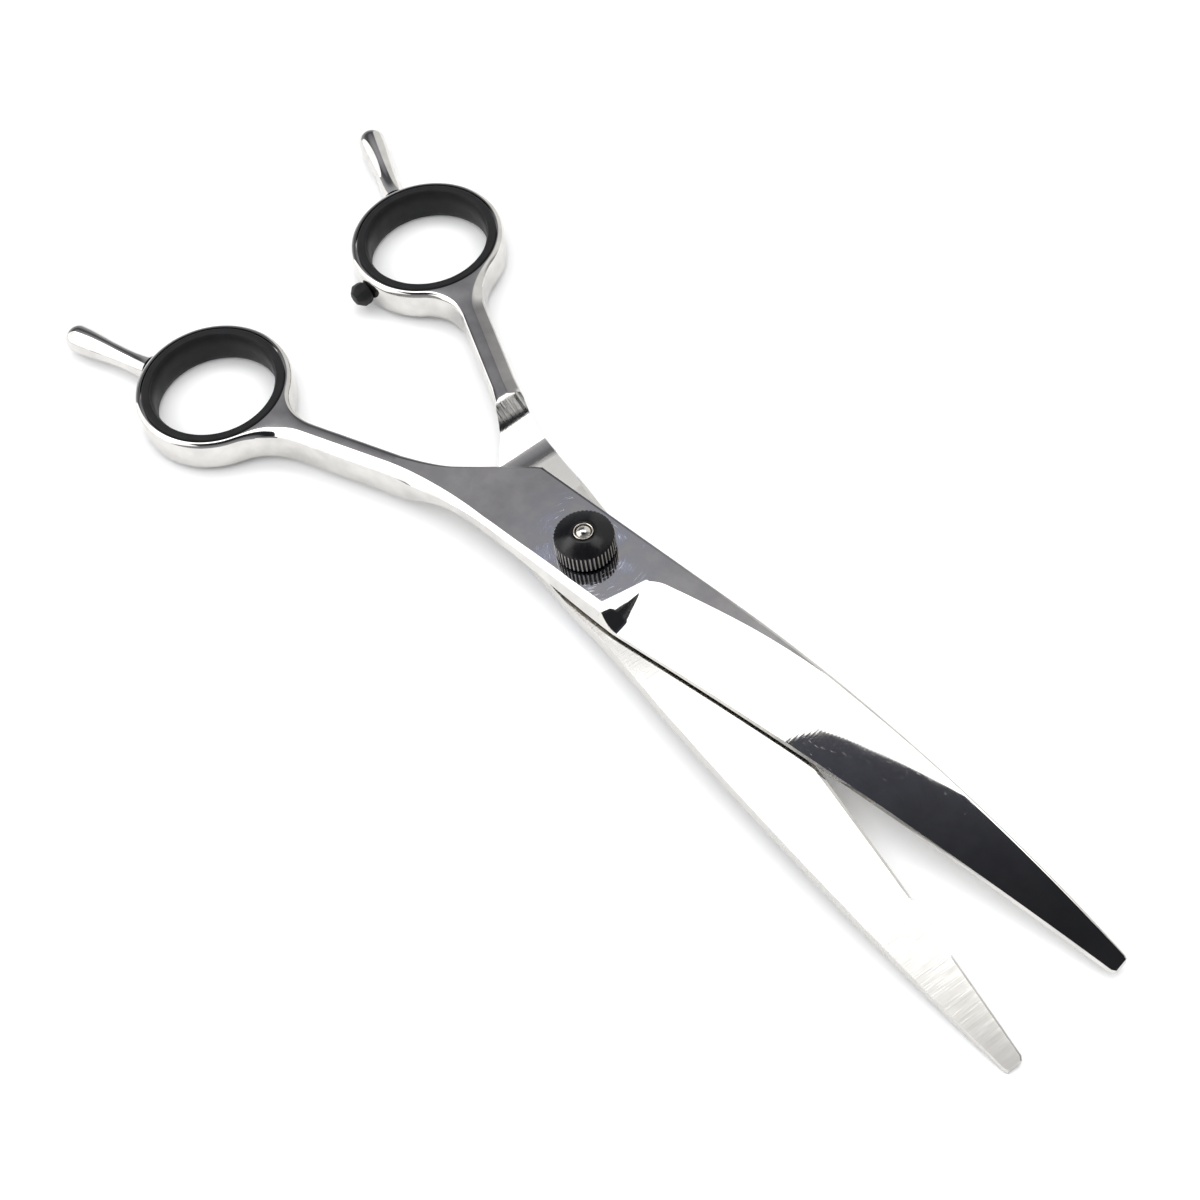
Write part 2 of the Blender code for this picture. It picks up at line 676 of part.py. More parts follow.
def make_knob():
    """Thumb nut with a straight-knurled rim and a low conical top."""
    count = 2 * KNURL_COUNT

    def knurled(height, depth, radius=KNOB_RADIUS):
        loop = []
        for i in range(count):
            turn = 2 * math.pi * i / count
            reach = radius - (depth if i % 2 else 0.0)
            loop.append((reach * math.cos(turn), reach * math.sin(turn), height))
        return loop

    chamfer = KNURL_DEPTH
    item = loft(
        "tension_knob",
        [
            knurled(KNOB_BASE, 0.0, KNOB_RADIUS - KNURL_DEPTH),
            knurled(KNOB_BASE + chamfer, KNURL_DEPTH),
            knurled(KNOB_SHOULDER - chamfer, KNURL_DEPTH),
            knurled(KNOB_SHOULDER, 0.0, KNOB_RADIUS - KNURL_DEPTH),
            knurled(KNOB_TOP, 0.0, KNOB_CONE_TOP_RADIUS),
        ],
        PARTS,
        BLACK_PLASTIC,
    )
    bore = rod("knob_bore", BUSH_RADIUS + FIT, KNOB_BASE - PAST, KNOB_TOP + PAST, CUTTERS)
    seat = BUSH_BOTTOM + BUSH_FLANGE_HEIGHT + FIT
    flange = rod("knob_flange_pocket", BUSH_FLANGE_RADIUS + FIT, KNOB_BASE - PAST, seat, CUTTERS)
    recess = rod("knob_recess", KNOB_RECESS_RADIUS, KNOB_BASE - PAST, RECESS_TOP, CUTTERS)
    for tool in (bore, flange, recess):
        boolean(item, tool, "DIFFERENCE")
    smooth(item)
    return item


def make_knob_bush():
    """Threaded metal bush moulded into the knob, with a collar that shows on top."""
    bore = THREAD_RADIUS + FIT
    flange_top = BUSH_BOTTOM + BUSH_FLANGE_HEIGHT
    profile = [
        (bore, BUSH_TOP - FIT),
        (mix(bore, BUSH_RADIUS, 0.5), BUSH_TOP),
        (BUSH_RADIUS, BUSH_TOP - FIT),
        (BUSH_RADIUS, flange_top),
        (BUSH_FLANGE_RADIUS, flange_top),
        (BUSH_FLANGE_RADIUS, BUSH_BOTTOM),
        (bore, BUSH_BOTTOM),
    ]
    return turned("knob_bush", profile, PARTS, CHROME, SCREW_STEPS, True)


def make_spring_washer():
    """Dished spring ring that keeps the halves pressed together."""
    inner = SCREW_RADIUS + FIT
    profile = [
        (inner, SPRING_TOP),
        (WASHER_RADIUS, SPRING_BOTTOM + SPRING_THICKNESS),
        (WASHER_RADIUS, SPRING_BOTTOM),
        (inner, SPRING_TOP - SPRING_THICKNESS),
    ]
    return turned("spring_washer", profile, PARTS, SPRING_STEEL, SCREW_STEPS, True)


def axis_empty(name, turn):
    """Empty on the pivot axis that carries one body."""
    item = bpy.data.objects.new(name, None)
    PARTS.objects.link(item)
    item.location = (0.0, 0.0, -HEAD_FACE)
    item.rotation_euler = (0.0, 0.0, turn)
    return item


def carry(empty, pieces):
    """Parents pieces, and the cutters in their modifiers, to an empty."""
    for piece in pieces:
        piece.parent = empty
        for modifier in piece.modifiers:
            modifier.object.parent = empty


upper_half = make_half("upper_half", 1)
lower_half = make_half("lower_half", -1)
pivot_bores(upper_half, lower_half)
bumper = make_bumper(lower_half)
pivot_bushing = washer(
    "pivot_bushing", SCREW_RADIUS + FIT, BUSHING_RADIUS, GLIDE_RECESS_TOP, PLATE_TOP, WHITE_ACETAL
)
glide_washer = washer(
    "glide_washer", GLIDE_BORE, GLIDE_RADIUS, GLIDE_BOTTOM, GLIDE_BOTTOM + GLIDE_THICKNESS, WHITE_ACETAL
)
knob_washer = washer(
    "knob_washer", SCREW_RADIUS + FIT, WASHER_RADIUS, WASHER_BOTTOM, WASHER_BOTTOM + WASHER_THICKNESS, WHITE_ACETAL
)
upper_pieces = [
    upper_half,
    make_insert("finger_insert_left", 1),
    make_finger_rest("finger_rest_left", 1),
    pivot_bushing,
    glide_washer,
]
lower_pieces = [
    lower_half,
    make_insert("finger_insert_right", -1),
    make_finger_rest("finger_rest_right", -1),
    bumper,
    make_pivot_screw(),
    knob_washer,
    make_spring_washer(),
]
knob_pieces = [make_knob(), make_knob_bush()]
carry(axis_empty("upper_axis", REST_OPENING / 2), upper_pieces)
carry(axis_empty("lower_axis", -REST_OPENING / 2), lower_pieces)
carry(axis_empty("knob_axis", -REST_OPENING / 2), knob_pieces)
for half in (upper_half, lower_half):
    smooth(half, 22.0)
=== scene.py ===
# Hair cutting shears, dressed: two polished steel halves crossing on a thumb nut, lying open on a pale floor.
import math

import bmesh
import bpy
from mathutils import Matrix, Vector
from mathutils.geometry import delaunay_2d_cdt


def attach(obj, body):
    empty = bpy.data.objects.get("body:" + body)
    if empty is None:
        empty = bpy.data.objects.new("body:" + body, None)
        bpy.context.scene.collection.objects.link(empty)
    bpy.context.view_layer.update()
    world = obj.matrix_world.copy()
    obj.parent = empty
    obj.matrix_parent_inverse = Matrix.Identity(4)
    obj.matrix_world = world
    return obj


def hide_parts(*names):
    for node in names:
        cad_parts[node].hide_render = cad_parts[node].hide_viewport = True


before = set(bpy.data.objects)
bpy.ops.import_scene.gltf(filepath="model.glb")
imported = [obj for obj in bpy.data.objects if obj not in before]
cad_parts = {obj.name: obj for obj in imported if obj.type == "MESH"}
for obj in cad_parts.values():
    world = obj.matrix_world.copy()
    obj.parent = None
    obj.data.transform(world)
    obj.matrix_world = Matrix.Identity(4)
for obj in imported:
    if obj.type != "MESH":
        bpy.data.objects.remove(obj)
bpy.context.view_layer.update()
MM = 0.001

# The camera
# A short telephoto looks down on the shears from the front, slightly rolled. The table is level. The shears
# lie on it pitched a little, on their rings and a blade tip, so the table leans in the shears' own frame.
RIDE_LEVEL = 2.65 * MM
LIE_HEIGHT = 5.226 * MM
LIE_PITCH = 0.0295
LIE_YAW = math.radians(-56.539)
CAMERA_LENS = 72.0
CAMERA_SENSOR = 36.0
CAMERA_ELEVATION = math.radians(56.577)
CAMERA_ROLL = math.radians(-8.639)
CAMERA_DISTANCE = 384.745 * MM
CAMERA_TARGET = Vector((0.879, -4.807, 0.0)) * MM
CAMERA_NEAR = 10.0 * MM
CAMERA_FAR = 20.0

shears_to_room = (
    Matrix.Translation((0.0, 0.0, LIE_HEIGHT))
    @ Matrix.Rotation(LIE_YAW, 4, "Z")
    @ Matrix.Rotation(-LIE_PITCH, 4, "Y")
    @ Matrix.Translation((0.0, 0.0, -RIDE_LEVEL))
)
room_to_shears = shears_to_room.inverted()

camera = bpy.data.objects.new("camera", bpy.data.cameras.new("camera"))
camera.data.lens = CAMERA_LENS
camera.data.sensor_width = CAMERA_SENSOR
camera.data.clip_start = CAMERA_NEAR
camera.data.clip_end = CAMERA_FAR
bpy.context.scene.collection.objects.link(camera)
look = Vector((0.0, math.cos(CAMERA_ELEVATION), -math.sin(CAMERA_ELEVATION)))
level_right = Vector((1.0, 0.0, 0.0))
level_up = Vector((0.0, math.sin(CAMERA_ELEVATION), math.cos(CAMERA_ELEVATION)))
right = math.cos(CAMERA_ROLL) * level_right + math.sin(CAMERA_ROLL) * level_up
up = math.cos(CAMERA_ROLL) * level_up - math.sin(CAMERA_ROLL) * level_right
stand = Matrix((right, up, -look)).transposed().to_4x4()
stand.translation = CAMERA_TARGET - CAMERA_DISTANCE * look
camera.matrix_world = room_to_shears @ stand
bpy.context.scene.camera = camera
bpy.context.scene.view_settings.view_transform = "Standard"


# The floor and the light
# A white paper sheet on a table, under a broad soft overhead box with a wing beside it. The room round the
# table is darker in parts, and the bright steel shows that.
FLOOR_DROP = 0.65 * MM
FLOOR_SIZE = 3.0
SHEET_COLOUR = "f6f6f6"
OVERHEAD_RADIANCE = 2.4
OVERHEAD_SIZE = (0.775, 0.386)
OVERHEAD_PLACE = (0.123, 0.351, 1.0)
OVERHEAD_AIM = (0.123, 0.351, 0.0)
OVERHEAD_TURN = math.radians(-28.8)
WING_SIZE = (0.745, 0.435)
WING_PLACE = (-0.427, 0.442, 1.0)
WING_AIM = (-0.427, 0.442, 0.0)
SIDE_RADIANCE = 1.5
SIDE_SIZE = (1.5, 1.5)
SIDE_PLACE = (-1.0, 0.1, 0.72)
SIDE_AIM = (0.0, 0.0, 0.2)
FILL_RADIANCE = 1.6
FILL_SIZE = (2.4, 2.4)
FILL_PLACE = (0.3, -0.4, 1.5)
FILL_AIM = (0.0, 0.0, 0.0)


def linear(code):
    """An sRGB hex colour as linear RGBA."""
    parts = [int(code[i:i + 2], 16) / 255 for i in (0, 2, 4)]
    return [c / 12.92 if c <= 0.04045 else ((c + 0.055) / 1.055) ** 2.4 for c in parts] + [1.0]


def fill(tree, node, values):
    """Sets a node's inputs, by name or number, to values or to other nodes' outputs."""
    for name, value in values.items():
        if isinstance(value, bpy.types.NodeSocket):
            tree.links.new(value, node.inputs[name])
        else:
            node.inputs[name].default_value = value


# Inputs by number: a Map Range has its value, the range it comes from and the range it goes to at 0 to 4. A
# Mix has its share at 0, two numbers at 2 and 3 and two colours at 6 and 7; the colour it gives is output 2.
def add(tree, kind, values=None, output=0, **settings):
    """Adds a shader node with its settings, fills its inputs and gives one of its outputs."""
    made = tree.nodes.new("ShaderNode" + kind)
    for name, value in settings.items():
        setattr(made, name, value)
    fill(tree, made, values or {})
    return made.outputs[output]


def place(name, vertices, faces, material=None):
    """Makes a mesh object from points and faces."""
    mesh = bpy.data.meshes.new(name)
    mesh.from_pydata(vertices, [], faces)
    item = bpy.data.objects.new(name, mesh)
    bpy.context.scene.collection.objects.link(item)
    if material:
        mesh.materials.append(material)
    return item


# White paper: matt all over, without shine.
white_sheet = bpy.data.materials.new("white_paper_sheet")
white_sheet.use_nodes = True
fill(white_sheet.node_tree, white_sheet.node_tree.nodes["Principled BSDF"],
     {"Base Color": linear(SHEET_COLOUR), "Roughness": 0.9, "Specular IOR Level": 0.0})
edge = FLOOR_SIZE / 2
sheet_corners = [(-edge, -edge, 0.0), (edge, -edge, 0.0), (edge, edge, 0.0), (-edge, edge, 0.0)]
floor = place("floor", sheet_corners, [(0, 1, 2, 3)], white_sheet)
floor.matrix_world = room_to_shears @ Matrix.Translation((0.0, 0.0, -FLOOR_DROP))


def softbox(name, size, place_at, aim, radiance, mirrored=True):
    """A flat lamp of a given brightness; an unmirrored one lights surfaces but doesn't show in the steel."""
    lamp = bpy.data.lights.new(name, "AREA")
    lamp.shape = "RECTANGLE"
    lamp.size, lamp.size_y = size
    lamp.energy = radiance * math.pi * size[0] * size[1]
    item = bpy.data.objects.new(name, lamp)
    bpy.context.scene.collection.objects.link(item)
    heading = (Vector(aim) - Vector(place_at)).to_track_quat("-Z", "Y")
    item.matrix_world = room_to_shears @ Matrix.LocRotScale(Vector(place_at), heading, None)
    item.visible_glossy = mirrored
    return item


overhead = softbox("overhead_softbox", OVERHEAD_SIZE, OVERHEAD_PLACE, OVERHEAD_AIM, OVERHEAD_RADIANCE)
overhead.matrix_world = overhead.matrix_world @ Matrix.Rotation(OVERHEAD_TURN, 4, "Z")
softbox("left_softbox", WING_SIZE, WING_PLACE, WING_AIM, OVERHEAD_RADIANCE)
softbox("side_softbox", SIDE_SIZE, SIDE_PLACE, SIDE_AIM, SIDE_RADIANCE)
softbox("fill", FILL_SIZE, FILL_PLACE, FILL_AIM, FILL_RADIANCE, mirrored=False)

# The room: behind the table it is pale low down, dark above that and grey up to the lamps. It is dark above
# the camera and grey behind it, and pale to the right. A wall's stops are heights of the direction looked in.
FAR_WALL = (
    (0.0, "c4c6ca"), (0.3, "a4a6aa"), (0.5, "626368"), (0.64, "5a5b5f"), (0.70, "85858b"), (0.80, "a8a8ae"),
    (0.84, "c8c8cc"), (0.93, "4a4a4c"), (0.97, "5a5c66"),
)
FAR_WALL_BLEND = (0.0, 0.35)
NEAR_WALL = ((0.0, "b4b5b9"), (0.5, "96979b"), (0.86, "737478"), (0.94, "2c2d31"))
RIGHT_WALL = "fcfcfa"
RIGHT_WALL_BLEND = (0.12, 0.26)
world = bpy.data.worlds.new("room")
world.use_nodes = True
bpy.context.scene.world = world
room = world.node_tree
direction = add(room, "TexCoord", output="Generated")
level = add(room, "Mapping", {"Vector": direction, "Rotation": shears_to_room.to_euler()},
            vector_type="POINT")
parts = add(room, "SeparateXYZ", {"Vector": level}).node.outputs
walls = []
for stops in (FAR_WALL, NEAR_WALL):
    ramp = add(room, "ValToRGB", {0: parts["Z"]})
    for i, (height, colour) in enumerate(stops):
        stop = ramp.node.color_ramp.elements[i] if i < 2 else ramp.node.color_ramp.elements.new(height)
        stop.position = height
        stop.color = linear(colour)
    walls.append(ramp)
blends = []
for part, (low, high) in (("X", RIGHT_WALL_BLEND), ("Y", FAR_WALL_BLEND)):
    blends.append(add(room, "MapRange", {0: parts[part], 1: low, 2: high}, interpolation_type="SMOOTHSTEP"))
far = add(room, "Mix", {0: blends[0], 6: walls[0], 7: linear(RIGHT_WALL)}, 2, data_type="RGBA")
wall = add(room, "Mix", {0: blends[1], 6: walls[1], 7: far}, 2, data_type="RGBA")
fill(room, room.nodes["Background"], {"Color": wall, "Strength": 1.0})


# The two steel halves
# Each is one stainless forging: a down-curved blade, a flat pivot plate, a slim shank and a finger ring. The
# outside is ground to shape and buffed to a mirror. The inside is left from the wheel and hollowed behind the
# pivot.
BLADE_LENGTH = 104.5
BLADE_CURVE_START = 22.4
TIP_DROP = 7.6
TIP_CORNER = 0.6
SPINE_OFFSET = 7.6
SPINE_TAPER_START = 30.0
SPINE_TIP_OFFSET = 2.9
SPINE_REAR_SLOPE = 0.015
EDGE_HEEL_OFFSET = 8.2
EDGE_TIP_OFFSET = 0.2
EDGE_LAND = 0.12
HONE_WIDTH = 0.22
HONE_HEIGHT = 0.95
EDGE_RELIEF_UPPER = 0.5
EDGE_RELIEF_LOWER = 0.1
EDGE_RELIEF_SLOPE = 0.125
EDGE_RELIEF_RUN = 8.0
EDGE_RELIEF_FADE = 0.7
FACE_ROLL = 0.07
GRIND_START = 12.1
GRIND_END = 46.7
GRIND_DIP = 0.7
GRIND_DIP_RUN = 2.4
GRIND_TAPER = 1.6
LAND_WIDTH = 4.8
PLATE_THICKNESS = 2.6
RIDE_GAP = 0.3
RIDE_LENGTH = 21.3
RUNOUT_RADIUS = 14.3
RUNOUT_DIP = 0.15
RUNOUT_CURVE = 9.0
RUNOUT_LIP = 0.2
PLATE_CORNER_X = -17.0
PLATE_WAIST_X = -28.6
PLATE_WAIST_FAR = -2.4
PLATE_NEAR_OFFSET = 7.6
PLATE_BEVEL_FRONT = 1.3
PLATE_BEVEL_REAR = 1.0
PLATE_BEVEL_SLOPE = 0.2
PLATE_WALL_LEAN = 1.0
LOWER_SPINE_SWELL = 0.55
SPINE_SWELL_RISE = 10.0
SPINE_SWELL_END = 18.0
SPINE_SWELL_FALL = 16.0
LOWER_NEAR_SWELL = 0.9
NEAR_SWELL_START = -30.0
NEAR_SWELL_RISE = 9.0
NEAR_SWELL_END = -4.0
NEAR_SWELL_FALL = 12.0
FAR_ROLL = 0.35
FAR_ROLL_SLOPE = 0.13
FAR_ROLL_FADE = 0.5
FAR_ROLL_RUN = 24.0
PLUNGE_START = 9.0
PLUNGE_LENGTH = 4.5
PLUNGE_END = 14.5
PLUNGE_LINE_START = 10.8
PLUNGE_LINE_END = 12.5
PLUNGE_SKEW = 0.36
PLUNGE_SHORTEST = 0.4
PLUNGE_SHAPE = 1.25
EDGE_BREAK = 0.2
RING_REACH = 74.8
RING_SPREAD = math.radians(13.1)
RING_RADIUS = 13.7
RING_BORE = 12.0
RING_REBATE = 12.6
RING_REBATE_DEPTH = 0.8
RING_BEVEL = 0.95
RING_DROP = 1.5
HANDLE_THICKNESS = 6.2
HANDLE_BEVEL_FAR = 0.9
HANDLE_BEVEL_NEAR = 2.4
HANDLE_DROP = 0.7
FACET_ROUND = 0.13
FACET_STEP = 5
BEVEL_SLOPE = ((1.0, 0.0), (0.75, 0.035), (0.5, 0.085))
BEVEL_TURN = math.radians(14.0)
BEVEL_ROUND_STEPS = 6
SHANK_WIDTH = 4.7
SHANK_ROOT_X = -36.6
SHANK_ROOT_Y = -8.7
SHANK_SLOPE = 0.31
FILLET_FAR = 8.0
FILLET_NEAR = 13.0
REST_OPENING = math.radians(10.2)
REST_ANGLE_LEFT = math.radians(15.4)
REST_ANGLE_RIGHT = math.radians(7.8)
REST_LEAN_LEFT = math.radians(2.0)
REST_LEAN_RIGHT = math.radians(8.5)
BUMPER_ANGLE = math.radians(94.5)
STUD_HOLE = 0.95
STUD_DEPTH = 1.15
BUMPER_HOLE = 1.05
BUSHING_BORE = 3.0
GLIDE_POCKET = 6.15
GLIDE_POCKET_TOP = 0.55
KEYWAY = 3.2
HEAD_POCKET = 4.35
HEAD_POCKET_TOP = -1.6
CUT_SPARE = 2.0
SHARP_ANGLE = 20.0
CREASE = 0.04
FLAT_POINTS = 40
INSIDE_POINTS = 9
TOP_SPLIT = 0.55
SHANK_STATIONS = 60
SIDE_STEPS = 40
RING_STEPS = 180
BORE_STEPS = 96
PLANE_SLACK = 0.01
HOLE_SLACK = 1e-6
BORDER_SLACK = 1e-7
WITHOUT_HOLES = 4
WELD = 0.004
SLIVER = 0.002
HAZE_REACH = 17.0
HAZE_FULL = 5.0
RIPPLE_RISE = (36.0, 48.0)
RIPPLE_FALL = (78.0, 60.0)
ROUGHER_PLATE = (6.0, -6.0)
ROUGHER_TIP = (45.0, 105.0)
ROUGHER_BY = 0.18
RING_X = -RING_REACH * math.cos(RING_SPREAD)
RING_Y = -RING_REACH * math.sin(RING_SPREAD)
SHANK_BEHIND_X = SHANK_ROOT_X + RING_X / 8
HEEL = PLUNGE_START + PLUNGE_LENGTH
PLATE_TOP = RIDE_GAP / 2 + PLATE_THICKNESS


def ease(value):
    """Smooth step from 0 to 1."""
    value = min(max(value, 0.0), 1.0)
    return value * value * (3.0 - 2.0 * value)


def mix(first, second, share):
    """Straight blend."""
    return first + (second - first) * share


def through(points, x):
    """Smooth curve through (x, y) points of rising x."""
    for i in range(len(points) - 1):
        (x0, y0), (x1, y1) = points[i], points[i + 1]
        if x <= x1:
            break
    before = points[max(i - 1, 0)]
    after = points[min(i + 2, len(points) - 1)]
    span = x1 - x0
    slope0 = (y1 - before[1]) / (x1 - before[0])
    slope1 = (after[1] - y0) / (after[0] - x0)
    t = (x - x0) / span
    rise = (y1 - y0) / span
    return mix(y0, y1, t) + span * t * (1 - t) * ((slope0 - rise) * (1 - t) + (rise - slope1) * t)


def shank_y(x):
    """Middle line of the shank."""
    return SHANK_ROOT_Y + (x - SHANK_ROOT_X) * SHANK_SLOPE


def far_y(x):
    """Outline on the spine side, from the tip to the shank."""
    if x >= SPINE_TAPER_START:
        share = (x - SPINE_TAPER_START) / (BLADE_LENGTH - SPINE_TAPER_START)
        return mix(SPINE_OFFSET, SPINE_TIP_OFFSET, share * share)
    if x >= PLATE_CORNER_X:
        return SPINE_OFFSET - (SPINE_TAPER_START - x) * SPINE_REAR_SLOPE
    corner = (PLATE_CORNER_X, SPINE_OFFSET - (SPINE_TAPER_START - PLATE_CORNER_X) * SPINE_REAR_SLOPE)
    waist = (PLATE_WAIST_X, PLATE_WAIST_FAR)
    if x >= PLATE_WAIST_X:
        return mix(waist[1], corner[1], (x - waist[0]) / (corner[0] - waist[0]))
    root = (SHANK_ROOT_X, SHANK_ROOT_Y + SHANK_WIDTH / 2)
    behind = (SHANK_BEHIND_X, shank_y(SHANK_BEHIND_X) + SHANK_WIDTH / 2)
    return through([behind, root, waist, corner], x)


def near_y(x):
    """Outline on the cutting side, from the tip to the shank."""
    def edge(place_x):
        share = (place_x - HEEL) / (BLADE_LENGTH - HEEL)
        return -mix(EDGE_HEEL_OFFSET, EDGE_TIP_OFFSET, share)

    if x >= HEEL:
        return edge(x)
    points = [
        (SHANK_BEHIND_X, shank_y(SHANK_BEHIND_X) - SHANK_WIDTH / 2),
        (SHANK_ROOT_X, SHANK_ROOT_Y - SHANK_WIDTH / 2),
        (-RIDE_LENGTH, -PLATE_NEAR_OFFSET),
        (PLATE_CORNER_X / 2, -PLATE_NEAR_OFFSET),
        (HEEL, edge(HEEL)),
        (2 * HEEL, edge(2 * HEEL)),
    ]
    return through(points, x)


def bow(x, y):
    """Fall of the blades below the ride plane, the same all round the pivot."""
    reach = max(math.hypot(x, y) - BLADE_CURVE_START, 0.0) if x > 0.0 else 0.0
    return TIP_DROP * (reach / (BLADE_LENGTH - BLADE_CURVE_START)) ** 2


def far_roll(x):
    """Width of the roll along the spine's upper edge, fading along the blade."""
    return FAR_ROLL * (1.0 - FAR_ROLL_FADE * ease((x - GRIND_END) / FAR_ROLL_RUN))


def grind_line(x):
    """Where the blade's ground face begins: a land beside the spine narrows to nothing along the blade."""
    share = min(max((GRIND_END - x) / (GRIND_END - GRIND_START), 0.0), 1.0)
    dip = GRIND_DIP * min(max((GRIND_START + GRIND_DIP_RUN - x) / GRIND_DIP_RUN, 0.0), 1.0) ** 2
    least = far_roll(x) + 2 * CREASE
    return far_y(x) - least - (LAND_WIDTH - least) * share ** GRIND_TAPER - dip


def face_height(distance, width):
    """Blade face above the inside: a narrow honed bevel, then a nearly flat grind, rolled over at its top."""
    if distance < HONE_WIDTH:
        return mix(EDGE_LAND, HONE_HEIGHT, distance / HONE_WIDTH)
    width = width - HONE_WIDTH
    run = min(distance - HONE_WIDTH, width)
    slope = (PLATE_THICKNESS - HONE_HEIGHT) / width + FACE_ROLL / 4
    return HONE_HEIGHT + slope * run - FACE_ROLL / 4 * width * (run / width) ** 4


def bevel_points():
    """The buffed edge of shank and ring as (inset, drop): a shallow slope, then a small round."""
    points = list(BEVEL_SLOPE)
    flat, fall = points[-1]
    radius = flat / (1.0 - math.sin(BEVEL_TURN))
    for i in range(1, BEVEL_ROUND_STEPS + 1):
        turn = mix(BEVEL_TURN, math.pi / 2, i / BEVEL_ROUND_STEPS)
        points.append((flat - radius * (math.sin(turn) - math.sin(BEVEL_TURN)),
                       fall + radius * (math.cos(BEVEL_TURN) - math.cos(turn))))
    return [(inset, drop / points[-1][1]) for inset, drop in points]


BEVEL = bevel_points()
BEVEL_STEPS = [drop for inset, drop in BEVEL]


def bevel_inset(share):
    """Inset of the edge at a share of its drop, 1 at the face and 0 at the wall."""
    for (inset0, drop0), (inset1, drop1) in zip(BEVEL, BEVEL[1:]):
        if share <= drop1:
            return mix(inset0, inset1, (share - drop0) / (drop1 - drop0))
    return 0.0


def facet_inset(share):
    """The same for the shank's cutting side: a flat facet, then a small round."""
    flat = BEVEL_STEPS[FACET_STEP]
    if share <= flat:
        return mix(1.0, FACET_ROUND, share / flat)
    left = max(1.0 - share, 0.0) / (1.0 - flat)
    return FACET_ROUND * (1.0 - math.sqrt(1.0 - left * left))


def plunge_share(x, y):
    """0 on the plate and 1 where the wheel has cut the blade face fully; the cut is skewed."""
    start = PLUNGE_LINE_START + PLUNGE_SKEW * y
    end = min(PLUNGE_LINE_END - PLUNGE_SKEW * y, PLUNGE_END)
    share = min(max((x - start) / max(end - start, PLUNGE_SHORTEST), 0.0), 1.0)
    return ease(share ** PLUNGE_SHAPE)


